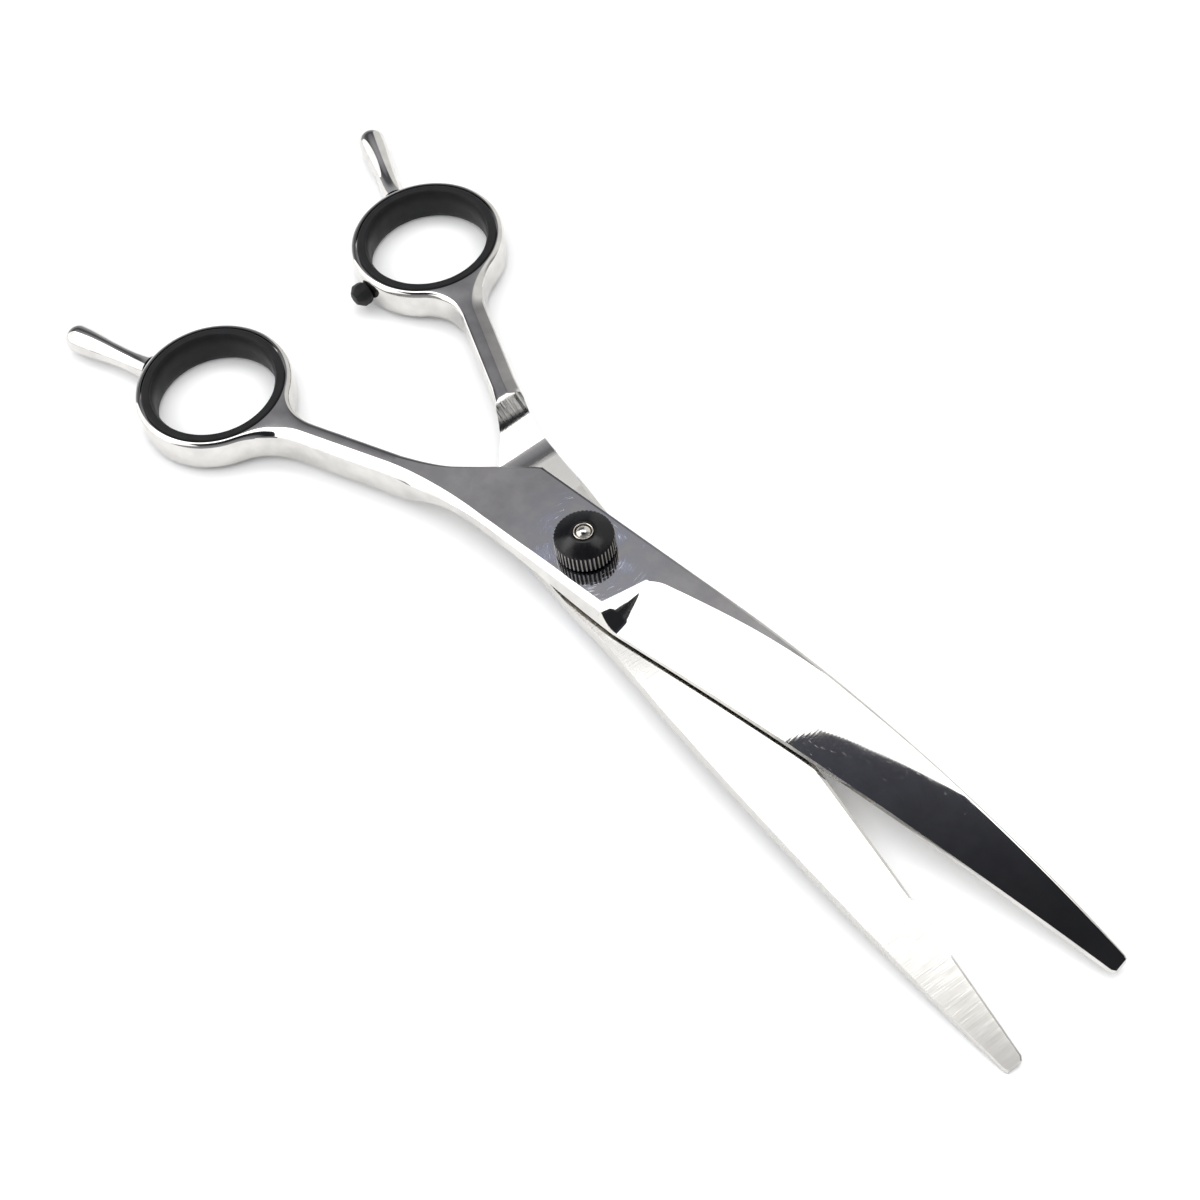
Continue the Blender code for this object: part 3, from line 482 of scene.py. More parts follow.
def half_section(x, side):
    """One section of a half, as (y, height outward from the ride plane) points going once round."""
    ride = RIDE_GAP / 2
    low_side = -HANDLE_THICKNESS / 2
    far = far_y(x)
    near = near_y(x)
    if side < 0:
        rise = ease((x - PLATE_CORNER_X) / SPINE_SWELL_RISE)
        far += LOWER_SPINE_SWELL * rise * ease((SPINE_SWELL_END - x) / SPINE_SWELL_FALL)
        rise = ease((x - NEAR_SWELL_START) / NEAR_SWELL_RISE)
        near -= LOWER_NEAR_SWELL * rise * ease((NEAR_SWELL_END - x) / NEAR_SWELL_FALL)
    plate = ease((x - SHANK_ROOT_X) / (PLATE_CORNER_X - SHANK_ROOT_X))
    along = min(max((x - PLATE_CORNER_X) / (PLUNGE_START - PLATE_CORNER_X), 0.0), 1.0)
    at_edge = ease((x - PLUNGE_START) / (PLUNGE_END - PLUNGE_START))
    line = grind_line(x) + far - far_y(x)
    width = line - near if x < GRIND_END else grind_line(GRIND_END) - near_y(GRIND_END)
    top = mix(HANDLE_THICKNESS / 2, PLATE_TOP, plate)
    if x >= GRIND_END:
        top = ride + face_height(line - near, width)
    roll = far_roll(x)
    roll_drop = FAR_ROLL_SLOPE * roll * (1.0 + ease((x - GRIND_END) / FAR_ROLL_RUN))
    far_width = mix(HANDLE_BEVEL_FAR, roll, plate)
    far_drop = mix(HANDLE_DROP, roll_drop, plate)
    near_width = mix(HANDLE_BEVEL_NEAR, mix(PLATE_BEVEL_REAR, PLATE_BEVEL_FRONT, along), plate)
    near_drop = mix(HANDLE_DROP, near_width * PLATE_BEVEL_SLOPE, plate)
    lean = PLATE_WALL_LEAN * along * (1.0 - at_edge)
    back = max(-RIDE_LENGTH - x, 0.0)
    bent = min(back, RUNOUT_CURVE)
    fall = bent * bent / (2 * RUNOUT_RADIUS) + (back - bent) * RUNOUT_CURVE / RUNOUT_RADIUS
    cut = ride + RUNOUT_DIP * back - fall
    lip = max(cut - low_side + RUNOUT_LIP, 0.0)
    if lip < 2 * RUNOUT_LIP:
        cut = low_side + lip * lip / (4 * RUNOUT_LIP)
    relief = EDGE_RELIEF_UPPER if side > 0 else EDGE_RELIEF_LOWER
    relief *= ease((x - PLATE_CORNER_X) / EDGE_RELIEF_RUN)
    relief *= 1.0 - EDGE_RELIEF_FADE * max(x, 0.0) / BLADE_LENGTH
    wall_low = max(low_side + HANDLE_DROP, cut + EDGE_BREAK / 2 + relief)
    edge_low = ride + relief
    bevel_top = near + lean + near_width
    wall_top = top - near_drop

    def under(share):
        """The spine side's lower border."""
        height = mix(cut, wall_low, share)
        inset = HANDLE_BEVEL_FAR * bevel_inset((height - low_side) / HANDLE_DROP)
        return height, max(inset, EDGE_BREAK / 2 * (1.0 - share) * plate)

    def relieved(share):
        """The cutting side's lower border, lifted a little clear of the other half."""
        height = mix(cut, wall_low, share)
        inset = HANDLE_BEVEL_NEAR * facet_inset((height - low_side) / HANDLE_DROP)
        inset = max(inset, EDGE_BREAK / 2 * (1.0 - share) * plate)
        return height, max(inset, (1.0 - share) * relief / EDGE_RELIEF_SLOPE)

    def surface(y, height):
        """The plate's own height there, or the wheel's cut where that is deeper."""
        if x >= GRIND_END:
            return min(top, ride + face_height(y - near, width))
        share = plunge_share(x, y) if y < line else 0.0
        return min(height, mix(top, ride + face_height(y - near, width), share))

    points = []
    for share in BEVEL_STEPS:
        height, inset = under(share)
        points.append((far - inset, cut + (height - cut) * mix(1.0, EDGE_BREAK / (wall_low - cut), plate)))
    for drop in BEVEL_STEPS[::-1]:
        inset = far_width * mix(bevel_inset(drop), 1.0 - drop, plate)
        points.append((far - inset, top - far_drop * drop))
    middle = mix(bevel_top, far - far_width, TOP_SPLIT)
    start = mix(middle, line, ease((x + RIDE_LENGTH) / RIDE_LENGTH))
    points += [(far - far_width - CREASE, top), (start + CREASE, top)]
    for i in range(FLAT_POINTS):
        y = mix(start, bevel_top, i / FLAT_POINTS)
        points.append((y, surface(y, top)))
    for drop in BEVEL_STEPS[:-1]:
        inset = near_width * mix(facet_inset(drop), 1.0 - drop, plate)
        ground = near + mix(HONE_WIDTH, near_width, 1.0 - drop / BEVEL_STEPS[-2])
        y = mix(near + lean + inset, ground, at_edge)
        points.append((y, surface(y, top - near_drop * drop)))
    points.append((near + lean, mix(wall_top, edge_low + EDGE_LAND / 2, at_edge)))
    for share in BEVEL_STEPS[::-1]:
        height, inset = relieved(share)
        points.append((near + inset, mix(height, mix(ride, edge_low, share), at_edge)))
    first = points[0][0]
    last = points[-1][0]
    for i in range(1, INSIDE_POINTS):
        points.append((mix(last, first, i / INSIDE_POINTS), cut))
    return points


def half_stations():
    """Places along X where a section is taken, shank to tip, closest where the shape turns fastest."""
    stretches = (
        (-RIDE_LENGTH, SHANK_STATIONS), (PLUNGE_START - 1.0, 40), (PLUNGE_END + 1.0, 75),
        (GRIND_END, 70), (BLADE_LENGTH - TIP_CORNER, 110),
    )
    places = []
    start = SHANK_ROOT_X
    for end, count in stretches:
        places += [mix(start, end, i / count) for i in range(count)]
        start = end
    return places + [start, BLADE_LENGTH]


def handle_outline():
    """Plan outline of shank and ring: point, offset direction, width factor, ring share, cutting side."""
    slope = Vector((1.0, SHANK_SLOPE)).normalized()
    across = Vector((-slope.y, slope.x))
    centre = Vector((RING_X, RING_Y))
    offset = (Vector((SHANK_ROOT_X, SHANK_ROOT_Y)) - centre).dot(across)

    def side(sign, radius):
        """One side of the shank with its fillet, and the angle at which the fillet meets the ring."""
        line = sign * offset + SHANK_WIDTH / 2 * slope.x
        rise = line + radius
        ahead = math.sqrt((RING_RADIUS + radius) ** 2 - rise ** 2)
        turn = math.atan2(rise, ahead)
        root = Vector((SHANK_ROOT_X, SHANK_ROOT_Y + sign * SHANK_WIDTH / 2))
        straight = Vector((0.0, float(sign)))
        found = []
        for i in range(SIDE_STEPS):
            share = i / SIDE_STEPS
            spot = root.lerp(centre + slope * ahead + across * sign * line, share)
            direction = straight.lerp(across * sign, ease(2 * share)).normalized()
            found.append((spot, direction, 1.0 / direction.dot(across * sign), 0.0, sign < 0))
        hub = centre + slope * ahead + across * sign * rise
        for i in range(SIDE_STEPS + 1):
            bend = mix(0.0, math.pi / 2 - turn, i / SIDE_STEPS)
            direction = across * sign * math.cos(bend) + slope * math.sin(bend)
            found.append((hub - direction * radius, direction, 1.0, ease(i / SIDE_STEPS), sign < 0))
        return found, turn

    points, far_turn = side(1, FILLET_FAR)
    near_points, near_turn = side(-1, FILLET_NEAR)
    base = math.atan2(slope.y, slope.x)
    for i in range(1, RING_STEPS):
        angle = mix(base + far_turn, base + math.tau - near_turn, i / RING_STEPS)
        direction = Vector((math.cos(angle), math.sin(angle)))
        points.append((centre + direction * RING_RADIUS, direction, 1.0, 1.0, False))
    return points + near_points[::-1]


def half_mesh(side):
    """Vertices, faces and the numbers of inside faces; side is +1 for the upper half and -1 for the lower."""
    vertices = []
    faces = []
    inside = set()
    half = HANDLE_THICKNESS / 2

    # Blade and plate: sections joined from the shank's root to the tip
    loops = []
    for x in half_stations():
        section = half_section(x, side)
        if x == BLADE_LENGTH:
            middle = sum(y for y, height in section) / len(section)
            shrink = 1.0 - TIP_CORNER / (SPINE_TIP_OFFSET + EDGE_TIP_OFFSET)
            section = [(middle + (y - middle) * shrink, height) for y, height in section]
        loops.append(range(len(vertices), len(vertices) + len(section)))
        vertices += [(x, side * y, side * height - bow(x, y)) for y, height in section]
    count = len(loops[0])
    for first, second in zip(loops, loops[1:]):
        for i in range(count):
            j = (i + 1) % count
            spine = i == len(BEVEL) - 1 and first[0] >= loops[SHANK_STATIONS][0]
            spot = vertices[second[i]]
            hollow = abs(spot[2]) < half - PLANE_SLACK
            ground = i >= count - INSIDE_POINTS and (spot[0] > 0.0 or hollow)
            if spine or ground:
                inside.add(len(faces))
            faces.append((first[i], first[j], second[j], second[i]))
    faces.append(tuple(loops[-1]))

    # Shank and ring: the outline carried up over both bevels
    outline = handle_outline()
    rims = []
    for sign, shares in ((-1, BEVEL_STEPS), (1, BEVEL_STEPS[::-1])):
        for share in shares:
            rim = []
            for point, direction, stretch, ring, is_near in outline:
                width = HANDLE_BEVEL_NEAR if is_near else HANDLE_BEVEL_FAR
                shape = mix(facet_inset(share), bevel_inset(share), ring) if is_near else bevel_inset(share)
                width = mix(width * math.cos(math.atan(SHANK_SLOPE)), RING_BEVEL, ring) * stretch
                drop = mix(HANDLE_DROP, RING_DROP, ring) * share
                spot = point - direction * width * shape
                rim.append(len(vertices))
                vertices.append((spot.x, side * spot.y, side * sign * (half - drop)))
            rims.append(rim)
    for low, high in zip(rims, rims[1:]):
        for i in range(len(low) - 1):
            faces.append((low[i], high[i], high[i + 1], low[i + 1]))

    # The two flat faces, with the hole for the insert
    turns = RING_STEPS
    hole = [(RING_X + RING_REBATE * math.cos(math.tau * i / turns),
             RING_Y + RING_REBATE * math.sin(math.tau * i / turns)) for i in range(turns)]
    hole_reach = RING_REBATE * math.cos(math.pi / turns) - HOLE_SLACK
    for rim, level in ((rims[0], -half), (rims[-1], half)):
        border = [Vector((vertices[i][0], side * vertices[i][1])) for i in rim]
        root = half_section(SHANK_ROOT_X, side)
        between = root[1 - INSIDE_POINTS:]
        if level > 0:
            between = root[2 * len(BEVEL):2 * len(BEVEL) + FLAT_POINTS + 2][::-1]
        border += [Vector((SHANK_ROOT_X, y)) for y, height in between]
        flat = border + [Vector(spot) for spot in hole]
        count = len(border)
        edges = [(i, (i + 1) % count) for i in range(count)]
        edges += [(count + i, count + (i + 1) % turns) for i in range(turns)]
        spots, _, found = delaunay_2d_cdt(flat, edges, [], WITHOUT_HOLES, BORDER_SLACK)[:3]
        start = len(vertices)
        vertices += [(spot.x, side * spot.y, side * level) for spot in spots]
        for face in found:
            middle = sum((spots[i] for i in face), Vector((0.0, 0.0))) / len(face)
            if (middle - Vector((RING_X, RING_Y))).length > hole_reach:
                faces.append(tuple(start + i for i in face))

    # The hole's wall, with a shelf for the insert's lip at each side
    shelf = half - RING_REBATE_DEPTH
    steps = [(RING_REBATE, half), (RING_REBATE, shelf), (RING_BORE, shelf), (RING_BORE, -shelf),
             (RING_REBATE, -shelf), (RING_REBATE, -half)]
    rows = []
    for radius, height in steps:
        rows.append(range(len(vertices), len(vertices) + turns))
        for i in range(turns):
            turn = math.tau * i / turns
            spot = (RING_X + radius * math.cos(turn), RING_Y + radius * math.sin(turn))
            vertices.append((spot[0], side * spot[1], side * height))
    for first, second in zip(rows, rows[1:]):
        for i in range(turns):
            j = (i + 1) % turns
            faces.append((first[i], first[j], second[j], second[i]))
    return vertices, faces, inside


def at_half(side):
    """Where a half's own frame lies in the shears."""
    return Matrix.Translation((0.0, 0.0, RIDE_LEVEL)) @ Matrix.Rotation(side * REST_OPENING / 2, 4, "Z")


def on_ring(side, angle, lean=0.0):
    """Where a piece turned on Z lies when it stands out of a ring, at an angle from the rearward line."""
    heading = math.pi + side * angle
    rim_x = RING_X + RING_RADIUS * math.cos(heading)
    rim_y = side * RING_Y + RING_RADIUS * math.sin(heading)
    rim = Vector((rim_x, rim_y, 0.0))
    turn = Matrix.Rotation(heading - lean, 4, "Z") @ Matrix.Rotation(math.pi / 2, 4, "Y")
    return at_half(side) @ Matrix.Translation(rim * MM) @ turn


def round_cutter(radius, low, high, matrix):
    """A rod for cutting a bore, its axis along Z of the given matrix."""
    turns = BORE_STEPS
    vertices = []
    for height in (low, high):
        for i in range(turns):
            turn = math.tau * i / turns
            vertices.append((math.cos(turn) * radius * MM, math.sin(turn) * radius * MM, height * MM))
    faces = [(i, (i + 1) % turns, turns + (i + 1) % turns, turns + i) for i in range(turns)]
    faces += [tuple(range(turns))[::-1], tuple(range(turns, 2 * turns))]
    item = place("cutter", vertices, faces)
    item.matrix_world = matrix
    return item


def make_half(name, node, body, side, materials, cutters):
    """Builds one half, welds it into one closed skin, sets it at its place and cuts its bores."""
    vertices, faces, inside = half_mesh(side)
    item = place(name, [Vector(v) * MM for v in vertices], faces)
    for material in materials:
        item.data.materials.append(material)
    for i in inside:
        item.data.polygons[i].material_index = 1
    work = bmesh.new()
    work.from_mesh(item.data)
    bmesh.ops.remove_doubles(work, verts=work.verts, dist=WELD * MM)
    bmesh.ops.dissolve_degenerate(work, edges=work.edges, dist=SLIVER * MM)
    bmesh.ops.recalc_face_normals(work, faces=work.faces)
    work.to_mesh(item.data)
    work.free()
    item.matrix_world = at_half(side)
    for cutter in cutters:
        cutting = item.modifiers.new("bore", "BOOLEAN")
        cutting.object = cutter
        cutting.operation = "DIFFERENCE"
        cutting.solver = "EXACT"
    bpy.context.view_layer.update()
    shape = bpy.data.meshes.new_from_object(item.evaluated_get(bpy.context.evaluated_depsgraph_get()))
    item.modifiers.clear()
    item.data = shape
    for cutter in cutters:
        bpy.data.objects.remove(cutter)
    item.data.shade_smooth()
    item.data.set_sharp_from_angle(angle=math.radians(SHARP_ANGLE))
    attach(item, body)
    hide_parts(node)


def new_finish(name):
    """A new material, its node tree, its shader and the piece's own coordinates in millimetres."""
    finish = bpy.data.materials.new(name)
    finish.use_nodes = True
    tree = finish.node_tree
    own = add(tree, "TexCoord", output="Object")
    scaled = add(tree, "VectorMath", {0: own, "Scale": 1.0 / MM}, operation="SCALE")
    return finish, tree, tree.nodes["Principled BSDF"], scaled


def from_axis(tree, millimetres):
    """A piece's three coordinates, and the distance from its Z axis."""
    axes = add(tree, "SeparateXYZ", {0: millimetres}).node.outputs
    flat = add(tree, "CombineXYZ", {"X": axes[0], "Y": axes[1]})
    return axes, add(tree, "VectorMath", {0: flat}, "Value", operation="LENGTH")


def buffed_stainless_steel(name, worn):
    """Buffed stainless steel: a mirror that shows the lamps, a little cloudy, with stray hairline marks.
    Where it is worn, the nut has left a bluish haze and arcs, and the wheel a ripple on the blade."""
    finish, tree, shader, millimetres = new_finish(name)

    # Buffing clouds about 3 mm across, on a swell about 5 mm long
    clouds = add(tree, "TexNoise", {"Vector": millimetres, "Scale": 0.3, "Detail": 4.0})
    patches = add(tree, "MapRange", {0: clouds, 1: 0.35, 2: 0.65})
    tint = add(tree, "Mix", {0: patches, 6: linear("d5d3cf"), 7: linear("c6c4c1")}, 2, data_type="RGBA")
    gloss = add(tree, "MapRange", {0: clouds, 1: 0.3, 2: 0.7, 3: 0.02, 4: 0.045})
    swell = add(tree, "TexNoise", {"Vector": millimetres, "Scale": 0.2, "Detail": 1.0})
    relief = add(tree, "Bump", {"Distance": 0.0025 * MM, "Height": swell})

    # Hairline marks about 0.05 mm wide and 1 to 3 mm long, in three directions
    marks = None
    for turn, seed in ((0.2, 0.0), (1.25, 31.0), (2.3, 67.0)):
        laid = add(tree, "Mapping",
                   {0: millimetres, 1: (seed, seed, 0.0), 2: (0.0, 0.0, turn), 3: (0.7, 22.0, 1.0)})
        noise = add(tree, "TexNoise", {"Vector": laid, "Scale": 1.0, "Detail": 0.0})
        lines = add(tree, "MapRange", {0: noise, 1: 0.84, 2: 0.9})
        if marks:
            lines = add(tree, "Math", {0: marks, 1: lines}, operation="MAXIMUM")
        marks = lines
    marks = add(tree, "Math", {0: marks, 1: 0.12}, operation="MULTIPLY")

    if worn:
        # Haze on the plate's top, round the nut
        axes, reach = from_axis(tree, millimetres)
        near_nut = add(tree, "MapRange", {0: reach, 1: HAZE_REACH, 2: HAZE_FULL},
                       interpolation_type="SMOOTHSTEP")
        height = add(tree, "Math", {0: axes[2]}, operation="ABSOLUTE")
        on_top = add(tree, "MapRange", {0: height, 1: PLATE_TOP - 0.2, 2: PLATE_TOP - 0.1})
        topped = add(tree, "Math", {0: near_nut, 1: on_top}, operation="MULTIPLY")
        haze = add(tree, "Math", {0: topped, 1: patches}, operation="MULTIPLY")
        tint = add(tree, "Mix", {0: haze, 6: tint, 7: linear("c9ccd8")}, 2, data_type="RGBA")
        gloss = add(tree, "Math", {0: haze, 1: 0.06, 2: gloss}, operation="MULTIPLY_ADD")

        # Arcs from turning the nut, about 0.1 mm wide
        around = add(tree, "Math", {0: axes[1], 1: axes[0]}, operation="ARCTAN2")
        rings = add(tree, "Math", {0: reach, 1: 9.0}, operation="MULTIPLY")
        turns = add(tree, "Math", {0: around, 1: 2.2}, operation="MULTIPLY")
        polar = add(tree, "CombineXYZ", {"X": rings, "Y": turns})
        arc_noise = add(tree, "TexNoise", {"Vector": polar, "Scale": 1.0, "Detail": 1.0})
        arc_lines = add(tree, "MapRange", {0: arc_noise, 1: 0.64, 2: 0.74})
        arcs = add(tree, "Math", {0: arc_lines, 1: haze}, operation="MULTIPLY")
        marks = add(tree, "Math", {0: marks, 1: arcs}, operation="MAXIMUM")

        # Grinding ripple where the face bends down; real lines are finer, and about 0.5 mm apart here to show
        bent = add(tree, "Mapping", {0: millimetres, 2: (0.0, 0.0, 0.3), 3: (1.0, 0.12, 0.0)})
        ripple = add(tree, "TexWave", {"Vector": bent, "Scale": 0.6, "Distortion": 3.0, "Detail": 3.0,
                                       "Detail Scale": 1.2}, 1, bands_direction="X")
        for low, high in (RIPPLE_RISE, RIPPLE_FALL):
            zone = add(tree, "MapRange", {0: axes[0], 1: low, 2: high}, interpolation_type="SMOOTHSTEP")
            ripple = add(tree, "Math", {0: ripple, 1: zone}, operation="MULTIPLY")
        relief = add(tree, "Bump", {"Distance": 0.0002 * MM, "Height": ripple, "Normal": relief})

    gloss = add(tree, "Math", {0: marks, 1: 0.25, 2: gloss}, operation="MULTIPLY_ADD")
    relief = add(tree, "Bump", {"Distance": 0.003 * MM, "Height": marks, "Normal": relief}, invert=True)
    fill(tree, shader, {"Metallic": 1.0, "Base Color": tint, "Roughness": gloss, "Normal": relief})
    return finish


buffed_steel = buffed_stainless_steel("buffed_stainless_steel", worn=True)

# Ground stainless steel: the inside is finished on a wheel and not buffed, so lines cross the blade and run
# along the hollow behind the pivot, and spread the lamps a little. The real lines are finer; these are drawn
# about 0.2 mm wide, so that they show.
ground_steel, tree, shader, millimetres = new_finish("ground_stainless_steel")
across = add(tree, "Mapping", {0: millimetres, 2: (0.0, 0.0, 0.12), 3: (5.0, 0.18, 0.0)})
crossing = add(tree, "TexNoise", {"Vector": across, "Scale": 1.0, "Detail": 3.0})
along = add(tree, "Mapping", {0: millimetres, 3: (0.2, 4.0, 0.0)})
running = add(tree, "TexNoise", {"Vector": along, "Scale": 1.0, "Detail": 3.0})
place_x = add(tree, "SeparateXYZ", {0: millimetres})
hollow = add(tree, "MapRange", {0: place_x, 1: -RIDE_LENGTH + 1.0, 2: -RIDE_LENGTH - 2.0})
lines = add(tree, "Mix", {0: hollow, 2: crossing, 3: running}, data_type="FLOAT")
tint = add(tree, "Mix", {0: lines, 6: linear("cbc9c4"), 7: linear("dcdad6")}, 2, data_type="RGBA")
wheel = add(tree, "MapRange", {0: lines, 1: 0.33, 2: 0.67, 3: 0.25, 4: 0.12})
dragged = add(tree, "MapRange", {0: lines, 1: 0.35, 2: 0.6, 3: 0.06, 4: 0.3})
hollow_end = -RIDE_LENGTH - RUNOUT_CURVE
runout = add(tree, "MapRange", {0: place_x, 1: hollow_end, 2: hollow_end - 1.0})
buffed = add(tree, "Mix", {0: runout, 2: 0.05, 3: dragged}, data_type="FLOAT")
for low, high in (ROUGHER_PLATE, ROUGHER_TIP):
    rougher = add(tree, "MapRange", {0: place_x, 1: low, 2: high, 3: 0.0, 4: ROUGHER_BY})
    wheel = add(tree, "Math", {0: wheel, 1: rougher}, operation="ADD")
gloss = add(tree, "Mix", {0: hollow, 2: wheel, 3: buffed}, data_type="FLOAT")
brushed = add(tree, "Bump", {"Distance": 0.002 * MM, "Height": lines})
fill(tree, shader, {"Metallic": 1.0, "Base Color": tint, "Roughness": gloss, "Normal": brushed})

upper_frame = at_half(1)
lower_frame = at_half(-1)
make_half("upper_blade_and_ring", "upper_half", "upper", 1, (buffed_steel, ground_steel), [
    round_cutter(BUSHING_BORE, -CUT_SPARE, PLATE_TOP + CUT_SPARE, upper_frame),
    round_cutter(GLIDE_POCKET, -CUT_SPARE / 2, GLIDE_POCKET_TOP, upper_frame),
    round_cutter(STUD_HOLE, -STUD_DEPTH, CUT_SPARE, on_ring(1, REST_ANGLE_LEFT, REST_LEAN_LEFT)),
])
make_half("lower_blade_and_ring", "lower_half", "lower", -1, (buffed_steel, ground_steel), [
    round_cutter(KEYWAY, -PLATE_TOP - CUT_SPARE, CUT_SPARE, lower_frame),
    round_cutter(HEAD_POCKET, -PLATE_TOP - CUT_SPARE, HEAD_POCKET_TOP, lower_frame),
    round_cutter(STUD_HOLE, -STUD_DEPTH, CUT_SPARE, on_ring(-1, REST_ANGLE_RIGHT, REST_LEAN_RIGHT)),
    round_cutter(BUMPER_HOLE, -STUD_DEPTH, CUT_SPARE, on_ring(-1, -BUMPER_ANGLE)),
])


# The finger inserts
# A soft moulded spool sits in each ring, its two lips flush with the steel. The bore narrows a little in the
# middle. Matt black vinyl, pressed in by hand.
INSERT_WALL_RADIUS = 11.8
INSERT_LIP_RADIUS = 12.4
INSERT_LIP_LOW = 2.5
INSERT_LIP_HIGH = 3.25
INSERT_HOLE = 10.4
INSERT_FLARE = 0.5
INSERT_ROUND = 0.4
INSERT_ROUND_STEPS = 8
INSERT_BORE_STEPS = 24
TURNED_SHARP_ANGLE = 32.0


def turned(name, profile, material, steps, closed=False, reach=None):
    """A piece turned on Z from (radius, height) points in mm; reach may change a radius on the way round."""
    vertices = []
    rows = []
    for radius, height in profile:
        if radius == 0.0:
            rows.append([len(vertices)] * steps)
            vertices.append((0.0, 0.0, height * MM))
            continue
        rows.append(range(len(vertices), len(vertices) + steps))
        for i in range(steps):
            turn = math.tau * i / steps
            length = reach(radius, height, turn) if reach else radius
            vertices.append((length * math.cos(turn) * MM, length * math.sin(turn) * MM, height * MM))
    faces = []
    pairs = list(zip(rows, rows[1:]))
    if closed:
        pairs.append((rows[-1], rows[0]))
    for first, second in pairs:
        for i in range(steps):
            j = (i + 1) % steps
            faces.append(tuple(dict.fromkeys((first[i], first[j], second[j], second[i]))))
    item = place(name, vertices, faces, material)
    work = bmesh.new()
    work.from_mesh(item.data)
    bmesh.ops.recalc_face_normals(work, faces=work.faces)
    work.to_mesh(item.data)
    work.free()
    item.data.shade_smooth()
    item.data.set_sharp_from_angle(angle=math.radians(TURNED_SHARP_ANGLE))
    return item


def insert_profile():
    """Spool with rounded lips, once round."""
    inner = []
    outer = []
    for i in range(INSERT_ROUND_STEPS + 1):
        turn = math.pi / 2 * i / INSERT_ROUND_STEPS
        inset = INSERT_ROUND * (1.0 - math.sin(turn))
        height = INSERT_LIP_HIGH - INSERT_ROUND * (1.0 - math.cos(turn))
        inner.insert(0, (INSERT_HOLE + INSERT_FLARE + inset, height))
        outer.append((INSERT_LIP_RADIUS - inset, height))
    half = inner + outer + [(INSERT_LIP_RADIUS, INSERT_LIP_LOW), (INSERT_WALL_RADIUS, INSERT_LIP_LOW)]
    bore_top = INSERT_LIP_HIGH - INSERT_ROUND
    bore = []
    for i in range(1, INSERT_BORE_STEPS):
        height = mix(-bore_top, bore_top, i / INSERT_BORE_STEPS)
        bore.append((INSERT_HOLE + INSERT_FLARE * (height / bore_top) ** 4, height))
    return half + [(radius, -height) for radius, height in half[::-1]] + bore


def vary(tree, pattern, colours, roughness, low=0.3, high=0.7):
    """A tint and a gloss that change together with a pattern."""
    tint = add(tree, "Mix", {0: pattern, 6: linear(colours[0]), 7: linear(colours[1])}, 2, data_type="RGBA")
    return tint, add(tree, "MapRange", {0: pattern, 1: low, 2: high, 3: roughness[0], 4: roughness[1]})


# Moulded vinyl: matt black with a mould grain, a little greyer where hands have rubbed it, in patches about
# 3 mm across. The grain is drawn about 0.2 mm across, coarser than the real one, so that it shows.
vinyl, tree, shader, millimetres = new_finish("moulded_soft_vinyl")
rubbed = add(tree, "TexNoise", {"Vector": millimetres, "Scale": 0.35, "Detail": 4.0})
grain = add(tree, "TexNoise", {"Vector": millimetres, "Scale": 5.0, "Detail": 2.0})
tint, gloss = vary(tree, rubbed, ("0f0f10", "1e1e1f"), (0.62, 0.5))
grained = add(tree, "Bump", {"Distance": 0.012 * MM, "Height": grain})
fill(tree, shader, {"IOR": 1.5, "Specular IOR Level": 0.2, "Sheen Weight": 0.03, "Sheen Roughness": 0.5,
                    "Base Color": tint, "Roughness": gloss, "Normal": grained})

for side, name, body in ((1, "left", "upper"), (-1, "right", "lower")):
    insert = turned("soft_insert_" + name, insert_profile(), vinyl, steps=160, closed=True)
    insert.matrix_world = at_half(side) @ Matrix.Translation((RING_X * MM, side * RING_Y * MM, 0.0))
    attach(insert, body)
    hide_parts("finger_insert_" + name)


# The finger rests
# A club of the same steel on a stud, screwed into the back of each ring and buffed with it.
rest_steel = buffed_stainless_steel("buffed_stainless_steel_club", worn=False)
REST_LENGTH = 18.6
REST_BULB = 2.55
REST_NECK = 1.85
REST_NECK_SHARE = 0.3
REST_FOOT = 2.5
REST_FOOT_FLARE = 2.5
REST_STUD = 0.8
REST_STUD_LENGTH = 1.0
REST_SEAT = 0.3
REST_STEPS = 16


def rest_profile():
    """Club from its round end to the end of its stud."""
    bulb = REST_LENGTH - REST_BULB
    neck = REST_LENGTH * REST_NECK_SHARE
    profile = [(0.0, REST_LENGTH)]
    for i in range(1, REST_STEPS + 1):
        turn = math.pi / 2 * i / REST_STEPS
        profile.append((REST_BULB * math.sin(turn), bulb + REST_BULB * math.cos(turn)))
    for i in range(1, 2 * REST_STEPS + 1):
        share = i / (2 * REST_STEPS)
        profile.append((mix(REST_BULB, REST_NECK, ease(share)), mix(bulb, neck, share)))
    for i in range(1, REST_STEPS + 1):
        share = i / REST_STEPS
        profile.append((mix(REST_NECK, REST_FOOT, share ** REST_FOOT_FLARE), mix(neck, REST_SEAT, share)))
    return profile + [(REST_STUD, REST_SEAT), (REST_STUD, -REST_STUD_LENGTH), (0.0, -REST_STUD_LENGTH)]


for side, name, body, angle, lean in (
    (1, "left", "upper", REST_ANGLE_LEFT, REST_LEAN_LEFT),
    (-1, "right", "lower", REST_ANGLE_RIGHT, REST_LEAN_RIGHT),
):
    rest = turned("club_rest_" + name, rest_profile(), rest_steel, steps=72)
    rest.matrix_world = on_ring(side, angle, lean)
    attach(rest, body)
    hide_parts("finger_rest_" + name)


